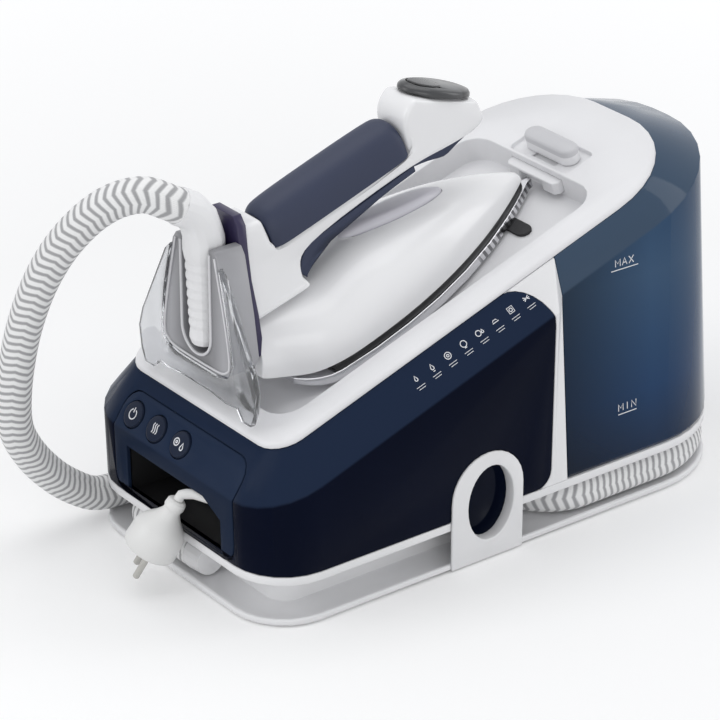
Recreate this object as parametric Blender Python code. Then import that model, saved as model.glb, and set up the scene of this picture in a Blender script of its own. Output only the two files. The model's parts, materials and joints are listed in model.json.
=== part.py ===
"""Steam generator iron: a station with boiler, tank and hose store, and the iron parked on its deck.

Metres, +Z up. The origin is under the middle of the station, on the surface that it stands on.
+X runs from the control panel to the water tank; the hose ring is on the -Y side.
"""

import math

import bmesh
import bpy
from mathutils import Matrix, Vector

# Station: overall sizes
LENGTH = 0.432
WIDTH = 0.2246
FRONT_RADIUS = 0.0428
REAR_RADIUS = 0.0835
GAP = 0.0003

# Station: heights and wall sizes, from the floor up
FOOT_HEIGHT = 0.0010
FOOT_RADIUS = 0.010
FOOT_INSET = 0.046
PAN_THICKNESS = 0.0038
LIP_HEIGHT = 0.0012
LIP_WIDTH = 0.0025
GROOVE_HEIGHT = 0.0272
CHASSIS_THICKNESS = 0.0062
SHELL_INSET = 0.0005
SHELL_WALL = 0.003

# Station: sloping top. Both heights are taken at the front plane
CREASE_HEIGHT = 0.0880
RIM_HEIGHT = 0.1133
DECK_ANGLE = math.radians(18.95)
SIDE_TAPER = 0.0215
FRONT_TAPER = 0.0225
REAR_TAPER = 0.0450

# Station: bulkhead between body and tank, measured from the front plane
BULKHEAD_OFFSET = 0.2417
BULKHEAD_THICKNESS = 0.0148
PANEL_CORNER_RADIUS = 0.013
TOP_CORNER_RADIUS = 0.024

# Deck and tray, in the deck's own sloping axes
DECK_RISE = 0.0052
DECK_DEPTH = 0.0185
DECK_STEP = 0.0045
DECK_REAR_RADIUS = 0.072
TRAY_FLOOR = -0.0141
TRAY_START = 0.047
TRAY_AHEAD = 0.0075
TRAY_HALF_WIDTH = 0.069
TRAY_RADIUS = 0.020

# Iron lock
LOCK_STROKE = 0.007
LOCK_AHEAD = 0.0255
LOCK_HALF_SPAN = 0.0255
LOCK_HALF_LENGTH = 0.0075
LOCK_HEIGHT = 0.0128
LOCK_RECESS_DEPTH = 0.0035
TONGUE_HALF_WIDTH = 0.027
TONGUE_TOP = -0.0005
TONGUE_HOOK = 0.0075
TONGUE_NOTCH = 0.012
TONGUE_CLEARANCE = 0.0006
STEM_HALF_LENGTH = 0.003

# Hose, its groove lanes and the ring
HOSE_RADIUS = 0.0122
LANE_INSET = 0.014
LANE_STEP = 0.026
LANE_CLEARANCE = 0.0015
RING_OFFSET = 0.1839
RING_HALF_WIDTH = 0.0312
RING_TOP = 0.0833
RING_THICKNESS = 0.0023
RING_HOLE_HALF_WIDTH = 0.0200
RING_HOLE_HALF_HEIGHT = 0.0283
RING_HOLE_HEIGHT = 0.0441
RING_HOLE_SHIFT = 0.0027
RING_TUBE_WALL = 0.0035
RING_PROUD = 0.0012
RING_TUBE_DEPTH = 0.0095
POCKET_DEPTH = 0.0165
POCKET_WALL = 0.002

# Front fascia, buttons and cord bin
FASCIA_HALF_WIDTH = 0.0703
FASCIA_BOTTOM = 0.0400
FASCIA_TOP = 0.1115
FASCIA_RADIUS = 0.012
BIN_Y = (-0.0555, 0.0555)
BIN_Z = (0.0420, 0.0765)
BIN_CORNER = 0.010
BIN_DEPTH = 0.098
BIN_WALL = 0.002
BIN_MARGIN = 0.001
BUTTON_RADIUS = 0.0098
BUTTON_CLEARANCE = 0.0004
BUTTON_RISE = 0.0012
BUTTON_DEPTH = 0.0075
BUTTON_TRAVEL = 0.0012
BUTTON_HEIGHT = 0.0985
BUTTON_PLACES = {"power_button": 0.0555, "steam_button": 0.0282, "reset_button": -0.0006}
BOARD_THICKNESS = 0.0016

# Water tank
TANK_WALL = 0.003
TANK_SIDE_DRAFT = 0.0125
TANK_CREASE_RADIUS = 0.1045
TANK_ROOF = 0.030
TANK_CLEARANCE = 0.0006
FILLER_OFFSET = 0.082
FILLER_RADIUS = 0.016
GRIP_DEPTH = 0.022
GRIP_HALF_WIDTH = 0.045
GRIP_HEIGHT = 0.022
GRIP_BELOW_CREASE = 0.014
SPIGOT_RADIUS = 0.006
SPIGOT_HEIGHT = 0.062
SPIGOT_Y = -0.040
VALVE_RADIUS = 0.011

# Boiler room
BOILER_RADIUS = 0.036
BOILER_LENGTH = 0.110
BOILER_CENTRE = (0.176, 0.038)
CRADLE_HEIGHT = 0.012
CRADLE_WIDTH = 0.014
CRADLE_SPACING = 0.070
PUMP_RADIUS = 0.019
PUMP_LENGTH = 0.075
PUMP_OFFSET = 0.165
PUMP_CLEARANCE = 0.004
BOARD_ABOVE_FLOOR = 0.0235
BOARD_HEIGHT = 0.088
BOARD_NEAR = -0.012
BOARD_WIDTH = 0.092
BOARD_MARGIN = 0.010

# Iron, in its own axes: x to the tip, z up from the sole
IRON_START = 0.0800
SOLE_ABOVE_TRAY = 0.0025
SOLE_LENGTH = 0.246
SOLE_HALF_WIDTH = 0.054
SOLE_WIDEST = 0.060
SOLE_THICKNESS = 0.008
SOLE_TURN_UP = 0.010
SOLE_TURN_LENGTH = 0.028
SHIELD_START = 0.027
SHIELD_HEIGHT = 0.0047
SHIELD_INSET = 0.0015
SHIELD_BAND = 0.007
SHIELD_NOSE = 0.031
CASTING_HEIGHT = 0.018
CASTING_CLEARANCE = 0.002
NOSE_END = 0.2362
COVER_WALL = 0.003
HEEL_X = -0.0262
HEEL_Z = 0.0301
TRIM_THICKNESS = 0.007
HANDLE_HALF_WIDTH = 0.0165
GRIP_START = 0.030
GRIP_END = 0.149
GRIP_FLOOR = 0.0973
GRIP_TOP = 0.126
GRIP_SIDE = 0.0195
HEAD_FRONT = (0.2145, 0.1010)
HEAD_REAR = (0.1665, 0.1343)
CAP_HALF_LENGTH = 0.0295
CAP_HALF_WIDTH = 0.0185
CAP_THICKNESS = 0.0065
BUTTON_OVAL = (0.0125, 0.0105)
TRIGGER_PIVOT = (0.158, 0.0865)
TRIGGER_SWING = math.radians(5)
TRIGGER_HALF_WIDTH = 0.0095
PIN_RADIUS = 0.0015
BOOT_OFFSET = -0.0150
BOOT_RADIUS = 0.0145
HEEL_DEPTH = 0.0220
STAND_PROUD = 0.0015
STAND_LAP = 0.0030

# Mains cord
CORD_RADIUS = 0.0035
HANK_RADIUS = 0.0305
HANK_STRAIGHT = 0.019
HANK_PITCH = 0.0077
HANK_LAYER = 0.0076
HANK_TURNS = 7.5
HANK_FRONT = 0.0275
HANK_CENTRE_Y = 0.0
LOOP_POINTS = 24

# Worked out from the sizes above
FRONT_X = -LENGTH / 2
REAR_X = LENGTH / 2
SLOPE = math.tan(DECK_ANGLE)
PAN_TOP = FOOT_HEIGHT + PAN_THICKNESS
CHASSIS_BOTTOM = PAN_TOP + GROOVE_HEIGHT
CHASSIS_TOP = CHASSIS_BOTTOM + CHASSIS_THICKNESS
SHELL_BOTTOM = CHASSIS_TOP + GAP
BULKHEAD_X = FRONT_X + BULKHEAD_OFFSET
TANK_X = BULKHEAD_X + BULKHEAD_THICKNESS + TANK_CLEARANCE
SHELL_END = BULKHEAD_X - GAP
LANE_HEIGHT = PAN_TOP + GAP + HOSE_RADIUS
OUTER_LANE = WIDTH / 2 - LANE_INSET
INNER_LANE = OUTER_LANE - LANE_STEP
FRONT_LANE = FRONT_X + LANE_INSET
LANE_HALF = HOSE_RADIUS + LANE_CLEARANCE
SOLE_HEIGHT = TRAY_FLOOR + SOLE_ABOVE_TRAY
SOLE_TIP = IRON_START + SOLE_LENGTH
TRAY_END = SOLE_TIP + TRAY_AHEAD
LOCK_CENTRE = SOLE_TIP + LOCK_AHEAD
TONGUE_UNDER = SOLE_HEIGHT + SOLE_THICKNESS + TONGUE_CLEARANCE
TONGUE_BOTTOM = TONGUE_UNDER - TONGUE_HOOK

WHITE = ((0.80, 0.80, 0.81), 0.35, 0.0)
NAVY = ((0.012, 0.022, 0.055), 0.30, 0.0)
BLACK = ((0.015, 0.015, 0.017), 0.40, 0.0)
RUBBER = ((0.03, 0.03, 0.032), 0.80, 0.0)
STEEL = ((0.70, 0.70, 0.72), 0.22, 1.0)
ALLOY = ((0.60, 0.60, 0.61), 0.45, 1.0)
BRASS = ((0.72, 0.55, 0.25), 0.35, 1.0)
CLEAR = ((0.78, 0.80, 0.82), 0.08, 0.0)
BLUE = ((0.03, 0.09, 0.20), 0.10, 0.0)
VIOLET = ((0.018, 0.012, 0.055), 0.35, 0.0)
GREY = ((0.42, 0.42, 0.44), 0.45, 0.0)
LILAC = ((0.62, 0.61, 0.66), 0.30, 0.0)
GREEN = ((0.03, 0.16, 0.07), 0.50, 0.0)
TEXTILE = ((0.74, 0.74, 0.75), 0.85, 0.0)
CORD_WHITE = ((0.78, 0.78, 0.77), 0.50, 0.0)


def clear_scene():
    for old in list(bpy.data.objects):
        bpy.data.objects.remove(old)


def add_material(obj, finish):
    colour, roughness, metallic = finish
    mat = bpy.data.materials.new(obj.name)
    mat.use_nodes = True
    shader = mat.node_tree.nodes["Principled BSDF"]
    shader.inputs["Base Color"].default_value = (*colour, 1.0)
    shader.inputs["Roughness"].default_value = roughness
    shader.inputs["Metallic"].default_value = metallic
    obj.data.materials.append(mat)


def add_object(name, data, finish=None, parent=None):
    obj = bpy.data.objects.new(name, data)
    bpy.context.collection.objects.link(obj)
    obj.parent = parent
    if finish:
        add_material(obj, finish)
    return obj


def mesh_object(name, verts, faces, finish=None, parent=None):
    mesh = bpy.data.meshes.new(name)
    mesh.from_pydata([tuple(v) for v in verts], [], faces)
    work = bmesh.new()
    work.from_mesh(mesh)
    bmesh.ops.recalc_face_normals(work, faces=work.faces)
    work.to_mesh(mesh)
    work.free()
    mesh.shade_smooth()
    mesh.set_sharp_from_angle(angle=math.radians(32))
    return add_object(name, mesh, finish, parent)


def frame(name, location, turn_y=0.0, parent=None):
    empty = bpy.data.objects.new(name, None)
    bpy.context.collection.objects.link(empty)
    empty.parent = parent
    empty.location = location
    empty.rotation_euler = (0.0, turn_y, 0.0)
    return empty


def loft(name, rings, finish=None, parent=None):
    """Skin a list of closed rings that have the same number of points, and cap both ends."""
    count = len(rings[0])
    verts = [point for ring in rings for point in ring]
    faces = []
    for k in range(len(rings) - 1):
        for i in range(count):
            j = (i + 1) % count
            low = k * count
            high = low + count
            faces.append((low + i, low + j, high + j, high + i))
    faces.append(tuple(range(count)))
    faces.append(tuple(range((len(rings) - 1) * count, len(rings) * count)))
    return mesh_object(name, verts, faces, finish, parent)


def band(name, levels, finish=None, parent=None):
    """Skin an open wall from levels of (outer path, inner path), lowest level first."""
    count = len(levels[0][0])
    verts = []
    for outer, inner in levels:
        verts += outer + inner
    faces = []
    step = 2 * count
    for k in range(len(levels) - 1):
        a = k * step
        b = a + step
        for i in range(count - 1):
            faces.append((a + i, a + i + 1, b + i + 1, b + i))
            faces.append((a + count + i, b + count + i, b + count + i + 1, a + count + i + 1))
        for end in (0, count - 1):
            faces.append((a + end, b + end, b + count + end, a + count + end))
    top = (len(levels) - 1) * step
    for base in (0, top):
        for i in range(count - 1):
            faces.append((base + i, base + i + 1, base + count + i + 1, base + count + i))
    return mesh_object(name, verts, faces, finish, parent)


def prism(name, outline, low, high, axis="z", finish=None, parent=None):
    """Extrude a closed outline. The outline's two numbers are the other axes, in x, y, z order."""
    places = {"z": lambda p, h: (p[0], p[1], h),
              "y": lambda p, h: (p[0], h, p[1]),
              "x": lambda p, h: (h, p[0], p[1])}
    rings = [[places[axis](p, h) for p in outline] for h in (low, high)]
    return loft(name, rings, finish, parent)


def box(name, low, high, finish=None, parent=None):
    outline = [(low[0], low[1]), (high[0], low[1]), (high[0], high[1]), (low[0], high[1])]
    return prism(name, outline, low[2], high[2], "z", finish, parent)


def arc(cx, cy, rx, start, end, steps, ry=None):
    ry = rx if ry is None else ry
    points = []
    for i in range(steps + 1):
        a = math.radians(start + (end - start) * i / steps)
        points.append((cx + rx * math.cos(a), cy + ry * math.sin(a)))
    return points


def ellipse(cx, cy, rx, ry, sides):
    return arc(cx, cy, rx, 0, 360, sides, ry)[:-1]


def rounded_box_outline(x0, x1, y0, y1, radius, steps=4):
    return (arc(x0 + radius, y0 + radius, radius, 180, 270, steps)
            + arc(x1 - radius, y0 + radius, radius, 270, 360, steps)
            + arc(x1 - radius, y1 - radius, radius, 0, 90, steps)
            + arc(x0 + radius, y1 - radius, radius, 90, 180, steps))


def stadium(x0, x1, yc, radius, steps=8):
    return (arc(x0, yc, radius, 90, 270, steps) + arc(x1, yc, radius, 270, 450, steps))


def cylinder(name, start, end, radius, finish=None, parent=None, sides=24):
    return sweep(name, [Vector(start), Vector(end)], [radius, radius], sides, finish, parent)


def sweep(name, points, radii, sides, finish=None, parent=None):
    """Skin round rings along a path, with one radius a point."""
    rings = []
    side = None
    for i, point in enumerate(points):
        ahead = points[min(i + 1, len(points) - 1)]
        behind = points[max(i - 1, 0)]
        direction = (ahead - behind).normalized()
        if side is None:
            side = direction.orthogonal().normalized()
        side = (side - direction * side.dot(direction)).normalized()
        other = direction.cross(side)
        ring = []
        for k in range(sides):
            a = 2 * math.pi * k / sides
            ring.append(point + radii[i] * (math.cos(a) * side + math.sin(a) * other))
        rings.append(ring)
    return loft(name, rings, finish, parent)


def boolean(target, tool, operation="DIFFERENCE"):
    """Cut, join or intersect with a tool, which is then removed."""
    modifier = target.modifiers.new("boolean", "BOOLEAN")
    modifier.operation = operation
    modifier.solver = "EXACT"
    modifier.object = tool
    bpy.context.view_layer.update()
    graph = bpy.context.evaluated_depsgraph_get()
    mesh = bpy.data.meshes.new_from_object(target.evaluated_get(graph))
    target.modifiers.clear()
    target.data = mesh
    bpy.data.objects.remove(tool)
    return target


def copy_of(obj, name, finish):
    twin = obj.copy()
    twin.data = obj.data.copy()
    twin.name = name
    bpy.context.collection.objects.link(twin)
    twin.data.materials.clear()
    add_material(twin, finish)
    return twin


def tube(name, points, radius, resolution, finish, parent=None):
    """A round tube along a list of points, with filled ends."""
    curve = bpy.data.curves.new(name, "CURVE")
    curve.dimensions = "3D"
    curve.bevel_depth = radius
    curve.bevel_resolution = resolution
    curve.use_fill_caps = True
    spline = curve.splines.new("POLY")
    spline.points.add(len(points) - 1)
    for target, point in zip(spline.points, points):
        target.co = (*point, 1.0)
    return add_object(name, curve, finish, parent)


def smooth_path(points, step):
    """Points about one step apart on a smooth curve; the first and last stretch stay straight."""
    knots = [Vector(p) for p in points]
    fine = []
    for i in range(1, len(knots) - 2):
        a, b, c, d = knots[i - 1:i + 3]
        for k in range(24):
            t = k / 24
            fine.append(0.5 * (2 * b + (c - a) * t + (2 * a - 5 * b + 4 * c - d) * t * t
                               + (3 * b - a - 3 * c + d) * t ** 3))
    fine.append(knots[-2])
    length = sum((q - p).length for p, q in zip(fine, fine[1:]))
    count = max(2, round(length / step))
    path = [fine[0]]
    done = 0.0
    for p, q in zip(fine, fine[1:]):
        done += (q - p).length
        while len(path) < count and done >= len(path) * length / count:
            path.append(q)
    path.append(fine[-1])
    return [knots[0]] + path + [knots[-1]]


def rim_z(x):
    return RIM_HEIGHT + (x - FRONT_X) * SLOPE


def crease_z(x):
    return CREASE_HEIGHT + (x - FRONT_X) * SLOPE


def station_plan(side, front=0.0, rear=0.0, x0=None, x1=None, rear_radius=REAR_RADIUS):
    """The station's outline drawn in by side, front and rear, or cut straight at x0 or x1."""
    half = WIDTH / 2 - side
    points = []
    if x0 is None:
        xa = FRONT_X + front
        rf = FRONT_RADIUS - side
        points += arc(xa + rf, -half + rf, rf, 180, 270, 6)
    else:
        points.append((x0, -half))
    if x1 is None:
        xb = REAR_X - rear
        rr = rear_radius - side
        points += arc(xb - rr, -half + rr, rr, 270, 360, 9)
        points += arc(xb - rr, half - rr, rr, 0, 90, 9)
    else:
        points += [(x1, -half), (x1, half)]
    if x0 is None:
        points += arc(xa + rf, half - rf, rf, 90, 180, 6)
    else:
        points.append((x0, half))
    return points


def front_path(side, front, x1):
    """The outline's front as an open path that ends at x1 on both sides."""
    half = WIDTH / 2 - side
    xa = FRONT_X + front
    rf = FRONT_RADIUS - side
    return ([(x1, -half)] + arc(xa + rf, -half + rf, rf, 270, 180, 6)
            + arc(xa + rf, half - rf, rf, 180, 90, 6) + [(x1, half)])


def at_height(points, height):
    if callable(height):
        return [(x, y, height(x)) for x, y in points]
    return [(x, y, height) for x, y in points]


def on_deck(points, height):
    """Plan points moved into the deck's sloping axes, at a height above the rim plane."""
    return [((x - FRONT_X) / math.cos(DECK_ANGLE), y, height) for x, y in points]


def deck_solid(name, grow, depth, rise, parent, finish=None):
    """The deck's envelope: a plug below the rim and a flange above it."""
    def ring(inset, height):
        plan = station_plan(SIDE_TAPER + inset, FRONT_TAPER + inset, REAR_TAPER + inset,
                            rear_radius=DECK_REAR_RADIUS + SIDE_TAPER)
        return on_deck(plan, height)

    flange = GAP if finish else 0.0
    rings = [ring(DECK_STEP - grow, -depth), ring(DECK_STEP - grow, flange), ring(-grow, flange)]
    if finish:
        rings += [ring(0.0008, rise * 0.6), ring(0.0038, rise)]
    else:
        rings += [ring(-grow, rise)]
    return loft(name, rings, finish, parent)


clear_scene()
deck_frame = frame("deck_frame", (FRONT_X, 0.0, RIM_HEIGHT), -DECK_ANGLE)
iron_frame = frame("iron_frame", (IRON_START, 0.0, SOLE_HEIGHT), 0.0, deck_frame)
heel_frame = frame("heel_frame", (HEEL_X, 0.0, HEEL_Z), DECK_ANGLE, iron_frame)

# Rubber feet and base pan: a floor with a lip, and cores that leave the hose lanes open
for end, x in (("front", FRONT_X + FOOT_INSET), ("rear", REAR_X - FOOT_INSET)):
    for side, y in (("near", FOOT_INSET - WIDTH / 2), ("far", WIDTH / 2 - FOOT_INSET)):
        cylinder(f"foot_{end}_{side}", (x, y, 0.0), (x, y, FOOT_HEIGHT - GAP), FOOT_RADIUS, RUBBER, sides=16)

base_pan = loft("base_pan", [
    at_height(station_plan(0.0015, 0.0015, 0.0015), FOOT_HEIGHT),
    at_height(station_plan(0.0), FOOT_HEIGHT + 0.0015),
    at_height(station_plan(0.0), PAN_TOP + LIP_HEIGHT - 0.0008),
    at_height(station_plan(0.0008, 0.0008, 0.0008), PAN_TOP + LIP_HEIGHT),
    at_height(station_plan(LIP_WIDTH, LIP_WIDTH, LIP_WIDTH), PAN_TOP + LIP_HEIGHT),
    at_height(station_plan(LIP_WIDTH + 0.002, LIP_WIDTH + 0.002, LIP_WIDTH + 0.002), PAN_TOP)], WHITE)

STORE_X = FRONT_X + 0.226
BIGHT_Y = -0.0185
BEND_X = FRONT_X + 0.340
bend_y = (INNER_LANE + BIGHT_Y) / 2
bend_radius = (INNER_LANE - BIGHT_Y) / 2
bight_y = (BIGHT_Y - OUTER_LANE) / 2
bight_radius = (BIGHT_Y + OUTER_LANE) / 2
BIGHT_X = STORE_X + bight_radius + LANE_HALF
core_outline = rounded_box_outline(FRONT_LANE + LANE_HALF, STORE_X - LANE_CLEARANCE,
                                   -OUTER_LANE + LANE_HALF, INNER_LANE - LANE_HALF, 0.016)
core_top = CHASSIS_BOTTOM - GAP
core_bottom = PAN_TOP - 0.001
boolean(base_pan, prism("core", core_outline, core_bottom, core_top), "UNION")
tongue_outline = stadium(STORE_X - 0.06, BEND_X, bend_y, bend_radius - LANE_HALF)
boolean(base_pan, prism("tongue", tongue_outline, core_bottom, core_top), "UNION")
island_outline = stadium(BIGHT_X, BIGHT_X + 0.045, bight_y, bight_radius - LANE_HALF)
boolean(base_pan, prism("island", island_outline, core_bottom, core_top), "UNION")

# Chassis floor: the white plate that carries body and tank
chassis = loft("chassis_floor", [
    at_height(station_plan(SHELL_INSET, SHELL_INSET, SHELL_INSET), CHASSIS_BOTTOM),
    at_height(station_plan(SHELL_INSET, SHELL_INSET, SHELL_INSET), CHASSIS_TOP)], WHITE)

# Hose ring: an arched plate on the lip with a short tube, and the dished pocket behind it
ring_x = FRONT_X + RING_OFFSET
ring_face = -WIDTH / 2 - RING_PROUD
hole_x = ring_x + RING_HOLE_SHIFT


def ring_plate(name, grow, low, high, finish=None):
    half = RING_HALF_WIDTH + grow
    outline = [(ring_x - half, FOOT_HEIGHT - grow), (ring_x + half, FOOT_HEIGHT - grow)]
    outline += arc(ring_x, RING_TOP - RING_HALF_WIDTH, half, 0, 180, 16)
    return prism(name, outline, low, high, "y", finish)


def ring_seat():
    return ring_plate("seat", GAP, ring_face - 0.01, ring_face + RING_THICKNESS + GAP)


boolean(base_pan, ring_seat())
boolean(chassis, ring_seat())
hose_ring = ring_plate("hose_ring", 0.0, ring_face, ring_face + RING_THICKNESS, WHITE)
tube_x = RING_HOLE_HALF_WIDTH + RING_TUBE_WALL
tube_z = RING_HOLE_HALF_HEIGHT + RING_TUBE_WALL
boolean(hose_ring, prism("tube", ellipse(hole_x, RING_HOLE_HEIGHT, tube_x, tube_z, 32),
                         ring_face + RING_THICKNESS / 2, ring_face + RING_TUBE_DEPTH, "y"), "UNION")
boolean(hose_ring, prism("hole", ellipse(hole_x, RING_HOLE_HEIGHT, RING_HOLE_HALF_WIDTH,
                                         RING_HOLE_HALF_HEIGHT, 32),
                         ring_face - 0.01, ring_face + 0.02, "y"))


def ring_ellipse(grow, y):
    return [(x, y, z) for x, z in ellipse(hole_x, RING_HOLE_HEIGHT, tube_x + grow, tube_z + grow, 32)]


pocket_start = ring_face + RING_TUBE_DEPTH + GAP
hose_pocket = loft("hose_pocket", [
    ring_ellipse(-0.008, pocket_start + POCKET_DEPTH),
    ring_ellipse(-0.002, pocket_start + POCKET_DEPTH * 0.7),
    ring_ellipse(0.0, pocket_start),
    ring_ellipse(-POCKET_WALL, pocket_start),
    ring_ellipse(-POCKET_WALL - 0.002, pocket_start + POCKET_DEPTH * 0.6),
    ring_ellipse(-POCKET_WALL - 0.009, pocket_start + POCKET_DEPTH - POCKET_WALL)], NAVY)


def pocket_cutter():
    return loft("cutter", [ring_ellipse(GAP * 2, ring_face - 0.01),
                           ring_ellipse(GAP * 2, pocket_start + POCKET_DEPTH + GAP)])


boolean(chassis, pocket_cutter())

# Navy body shell: three levels of wall, open at the bulkhead, top and bottom
def shell_level(side, front, height, end):
    outer = at_height(front_path(side, front, end), height)
    inner = at_height(front_path(side + SHELL_WALL, front + SHELL_WALL, end), height)
    return outer, inner


def shell_wall(name, end, finish=None):
    return band(name, [shell_level(SHELL_INSET, SHELL_INSET, SHELL_BOTTOM, end),
                       shell_level(SHELL_INSET - 0.001, SHELL_INSET - 0.001, crease_z, end),
                       shell_level(SIDE_TAPER, FRONT_TAPER, rim_z, end)], finish)


def panel_outline_xz(grow):
    """The side panel seen square on, from the front plane to its two rounded rear corners."""
    low = SHELL_BOTTOM + PANEL_CORNER_RADIUS
    top_x = SHELL_END - TOP_CORNER_RADIUS
    top_z = rim_z(top_x) - TOP_CORNER_RADIUS / math.cos(DECK_ANGLE)
    points = arc(SHELL_END - PANEL_CORNER_RADIUS, low, PANEL_CORNER_RADIUS + grow, -90, 0, 6)
    points += arc(top_x, top_z, TOP_CORNER_RADIUS + grow, 0, 90 + math.degrees(DECK_ANGLE), 8)
    x, z = points[-1]
    start = FRONT_X - 0.05
    return points + [(start, z - (x - start) * SLOPE), (start, points[0][1])]


body_shell = shell_wall("body_shell", SHELL_END, NAVY)
panel_prism = prism("panel", panel_outline_xz(0.0), -WIDTH, WIDTH, "y")
boolean(body_shell, panel_prism, "INTERSECT")
boolean(body_shell, pocket_cutter())
boolean(body_shell, ring_seat())

# Front fascia: cut out of the shell's own wall, so that it follows the crease
fascia_outline = rounded_box_outline(-FASCIA_HALF_WIDTH, FASCIA_HALF_WIDTH,
                                     FASCIA_BOTTOM, FASCIA_TOP, FASCIA_RADIUS)
window_outline = rounded_box_outline(-FASCIA_HALF_WIDTH - GAP * 2, FASCIA_HALF_WIDTH + GAP * 2,
                                     FASCIA_BOTTOM - GAP * 2, FASCIA_TOP + GAP * 2, FASCIA_RADIUS)
front_fascia = copy_of(body_shell, "front_fascia", NAVY)
reach = FRONT_X + FRONT_TAPER + 0.02
boolean(front_fascia, prism("fascia", fascia_outline, FRONT_X - 0.01, reach, "x"), "INTERSECT")
boolean(body_shell, prism("window", window_outline, FRONT_X - 0.01, reach, "x"))
opening_outline = [(BIN_Y[0], BIN_Z[0]), (BIN_Y[1], BIN_Z[0]), (BIN_Y[1], BIN_Z[1]),
                   (BIN_Y[0] + 2 * BIN_CORNER, BIN_Z[1]), (BIN_Y[0], BIN_Z[1] - BIN_CORNER)]
boolean(front_fascia, prism("opening", opening_outline, FRONT_X - 0.01, FRONT_X + 0.012, "x"))

# Panel buttons, on axes square to the leaning upper fascia
panel_low = Vector((FRONT_X + SHELL_INSET - 0.001, 0.0, crease_z(FRONT_X + SHELL_INSET - 0.001)))
panel_high = Vector((FRONT_X + FRONT_TAPER, 0.0, rim_z(FRONT_X + FRONT_TAPER)))
panel_lean = math.atan2(panel_high.x - panel_low.x, panel_high.z - panel_low.z)
panel_share = (BUTTON_HEIGHT - panel_low.z) / (panel_high.z - panel_low.z)
panel_frame = frame("panel_frame", panel_low.lerp(panel_high, panel_share), panel_lean - math.pi / 2)
for name, y in BUTTON_PLACES.items():
    hole = cylinder("hole", (0, y, -0.02), (0, y, 0.02), BUTTON_RADIUS + BUTTON_CLEARANCE,
                    parent=panel_frame, sides=28)
    boolean(front_fascia, hole)
    sweep(name, [Vector((0, y, z)) for z in (-BUTTON_DEPTH, BUTTON_RISE - 0.0008, BUTTON_RISE)],
          [BUTTON_RADIUS, BUTTON_RADIUS, BUTTON_RADIUS - 0.0009], 28, NAVY, panel_frame)

panel_wall = SHELL_WALL * (math.cos(panel_lean) - SLOPE * math.sin(panel_lean))
board_top = -BUTTON_DEPTH - BUTTON_TRAVEL - 0.0004
board_y = sorted(BUTTON_PLACES.values())
button_board = box("button_board", (-0.009, board_y[0] - 0.012, board_top - BOARD_THICKNESS),
                   (0.009, board_y[-1] + 0.010, board_top), GREEN, panel_frame)
for y in ((board_y[0] + board_y[1]) / 2, (board_y[1] + board_y[2]) / 2):
    peg = cylinder("peg", (0, y, board_top - BOARD_THICKNESS / 2), (0, y, -panel_wall - GAP), 0.0025,
                   parent=panel_frame, sides=12)
    boolean(button_board, peg, "UNION")

# Cord bin behind the opening, with the cord's gland in its side wall
bin_front = FRONT_X + SHELL_INSET + SHELL_WALL + BIN_MARGIN
bin_back = FRONT_X + BIN_DEPTH
bin_low = (bin_front, BIN_Y[0] - BIN_MARGIN - BIN_WALL, SHELL_BOTTOM)
bin_high = (bin_back + BIN_WALL, BIN_Y[1] + BIN_MARGIN + BIN_WALL, BIN_Z[1] + BIN_MARGIN + BIN_WALL)
cord_bin = box("cord_bin", bin_low, bin_high, BLACK)
boolean(cord_bin, box("inside", (bin_front - 0.01, BIN_Y[0] - BIN_MARGIN, SHELL_BOTTOM + BIN_WALL),
                      (bin_back, BIN_Y[1] + BIN_MARGIN, BIN_Z[1] + BIN_MARGIN)))

hank_centre_x = FRONT_X + HANK_FRONT + CORD_RADIUS + HANK_RADIUS
hank_back = hank_centre_x + HANK_RADIUS
gland_radius = CORD_RADIUS + 0.002
hank_floor = SHELL_BOTTOM + BIN_WALL + GAP + gland_radius
gland_face = BIN_Y[0] - BIN_MARGIN + 0.004
boolean(cord_bin, cylinder("hole", (hank_back, bin_low[1] - 0.01, hank_floor),
                           (hank_back, BIN_Y[0] + 0.01, hank_floor), gland_radius - 0.001 + GAP))
sweep("cord_gland", [Vector((hank_back, y, hank_floor)) for y in
                     (bin_low[1] - 0.006, bin_low[1] - GAP, bin_low[1] - GAP, BIN_Y[0] - BIN_MARGIN + GAP,
                      BIN_Y[0] - BIN_MARGIN + GAP, gland_face)],
      [gland_radius, gland_radius, gland_radius - 0.001, gland_radius - 0.001, gland_radius, gland_radius],
      16, BLACK)


def hank_point(turn):
    """A point on the hank: oval loops that spiral in and out, two to a layer."""
    layer = int(turn // 2)
    phase = turn - 2 * layer
    offset = HANK_PITCH * (phase if layer % 2 == 0 else 2 - phase)
    nearest = round(turn / 2)
    climb = min(max((turn - 2 * nearest + 0.25) / 0.5, 0.0), 1.0)
    climb = climb * climb * (3 - 2 * climb)
    level = (nearest - 1 + climb) if nearest > 0 else 0.0
    radius = HANK_RADIUS - offset
    f = turn % 1.0
    if f < 0.18:
        x, y = radius, HANK_STRAIGHT * (f / 0.09 - 1)
    elif f < 0.5:
        a = math.pi * (f - 0.18) / 0.32
        x, y = radius * math.cos(a), HANK_STRAIGHT + radius * math.sin(a)
    elif f < 0.68:
        x, y = -radius, HANK_STRAIGHT * (1 - (f - 0.5) / 0.09)
    else:
        a = math.pi * (f - 0.68) / 0.32
        x, y = -radius * math.cos(a), -HANK_STRAIGHT - radius * math.sin(a)
    return Vector((hank_centre_x + x, HANK_CENTRE_Y + y, hank_floor + HANK_LAYER * level))


def least_self_gap(points, diameter, skip):
    least = min((a - b).length for i, a in enumerate(points) for b in points[i + skip:])
    return least - diameter


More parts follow.
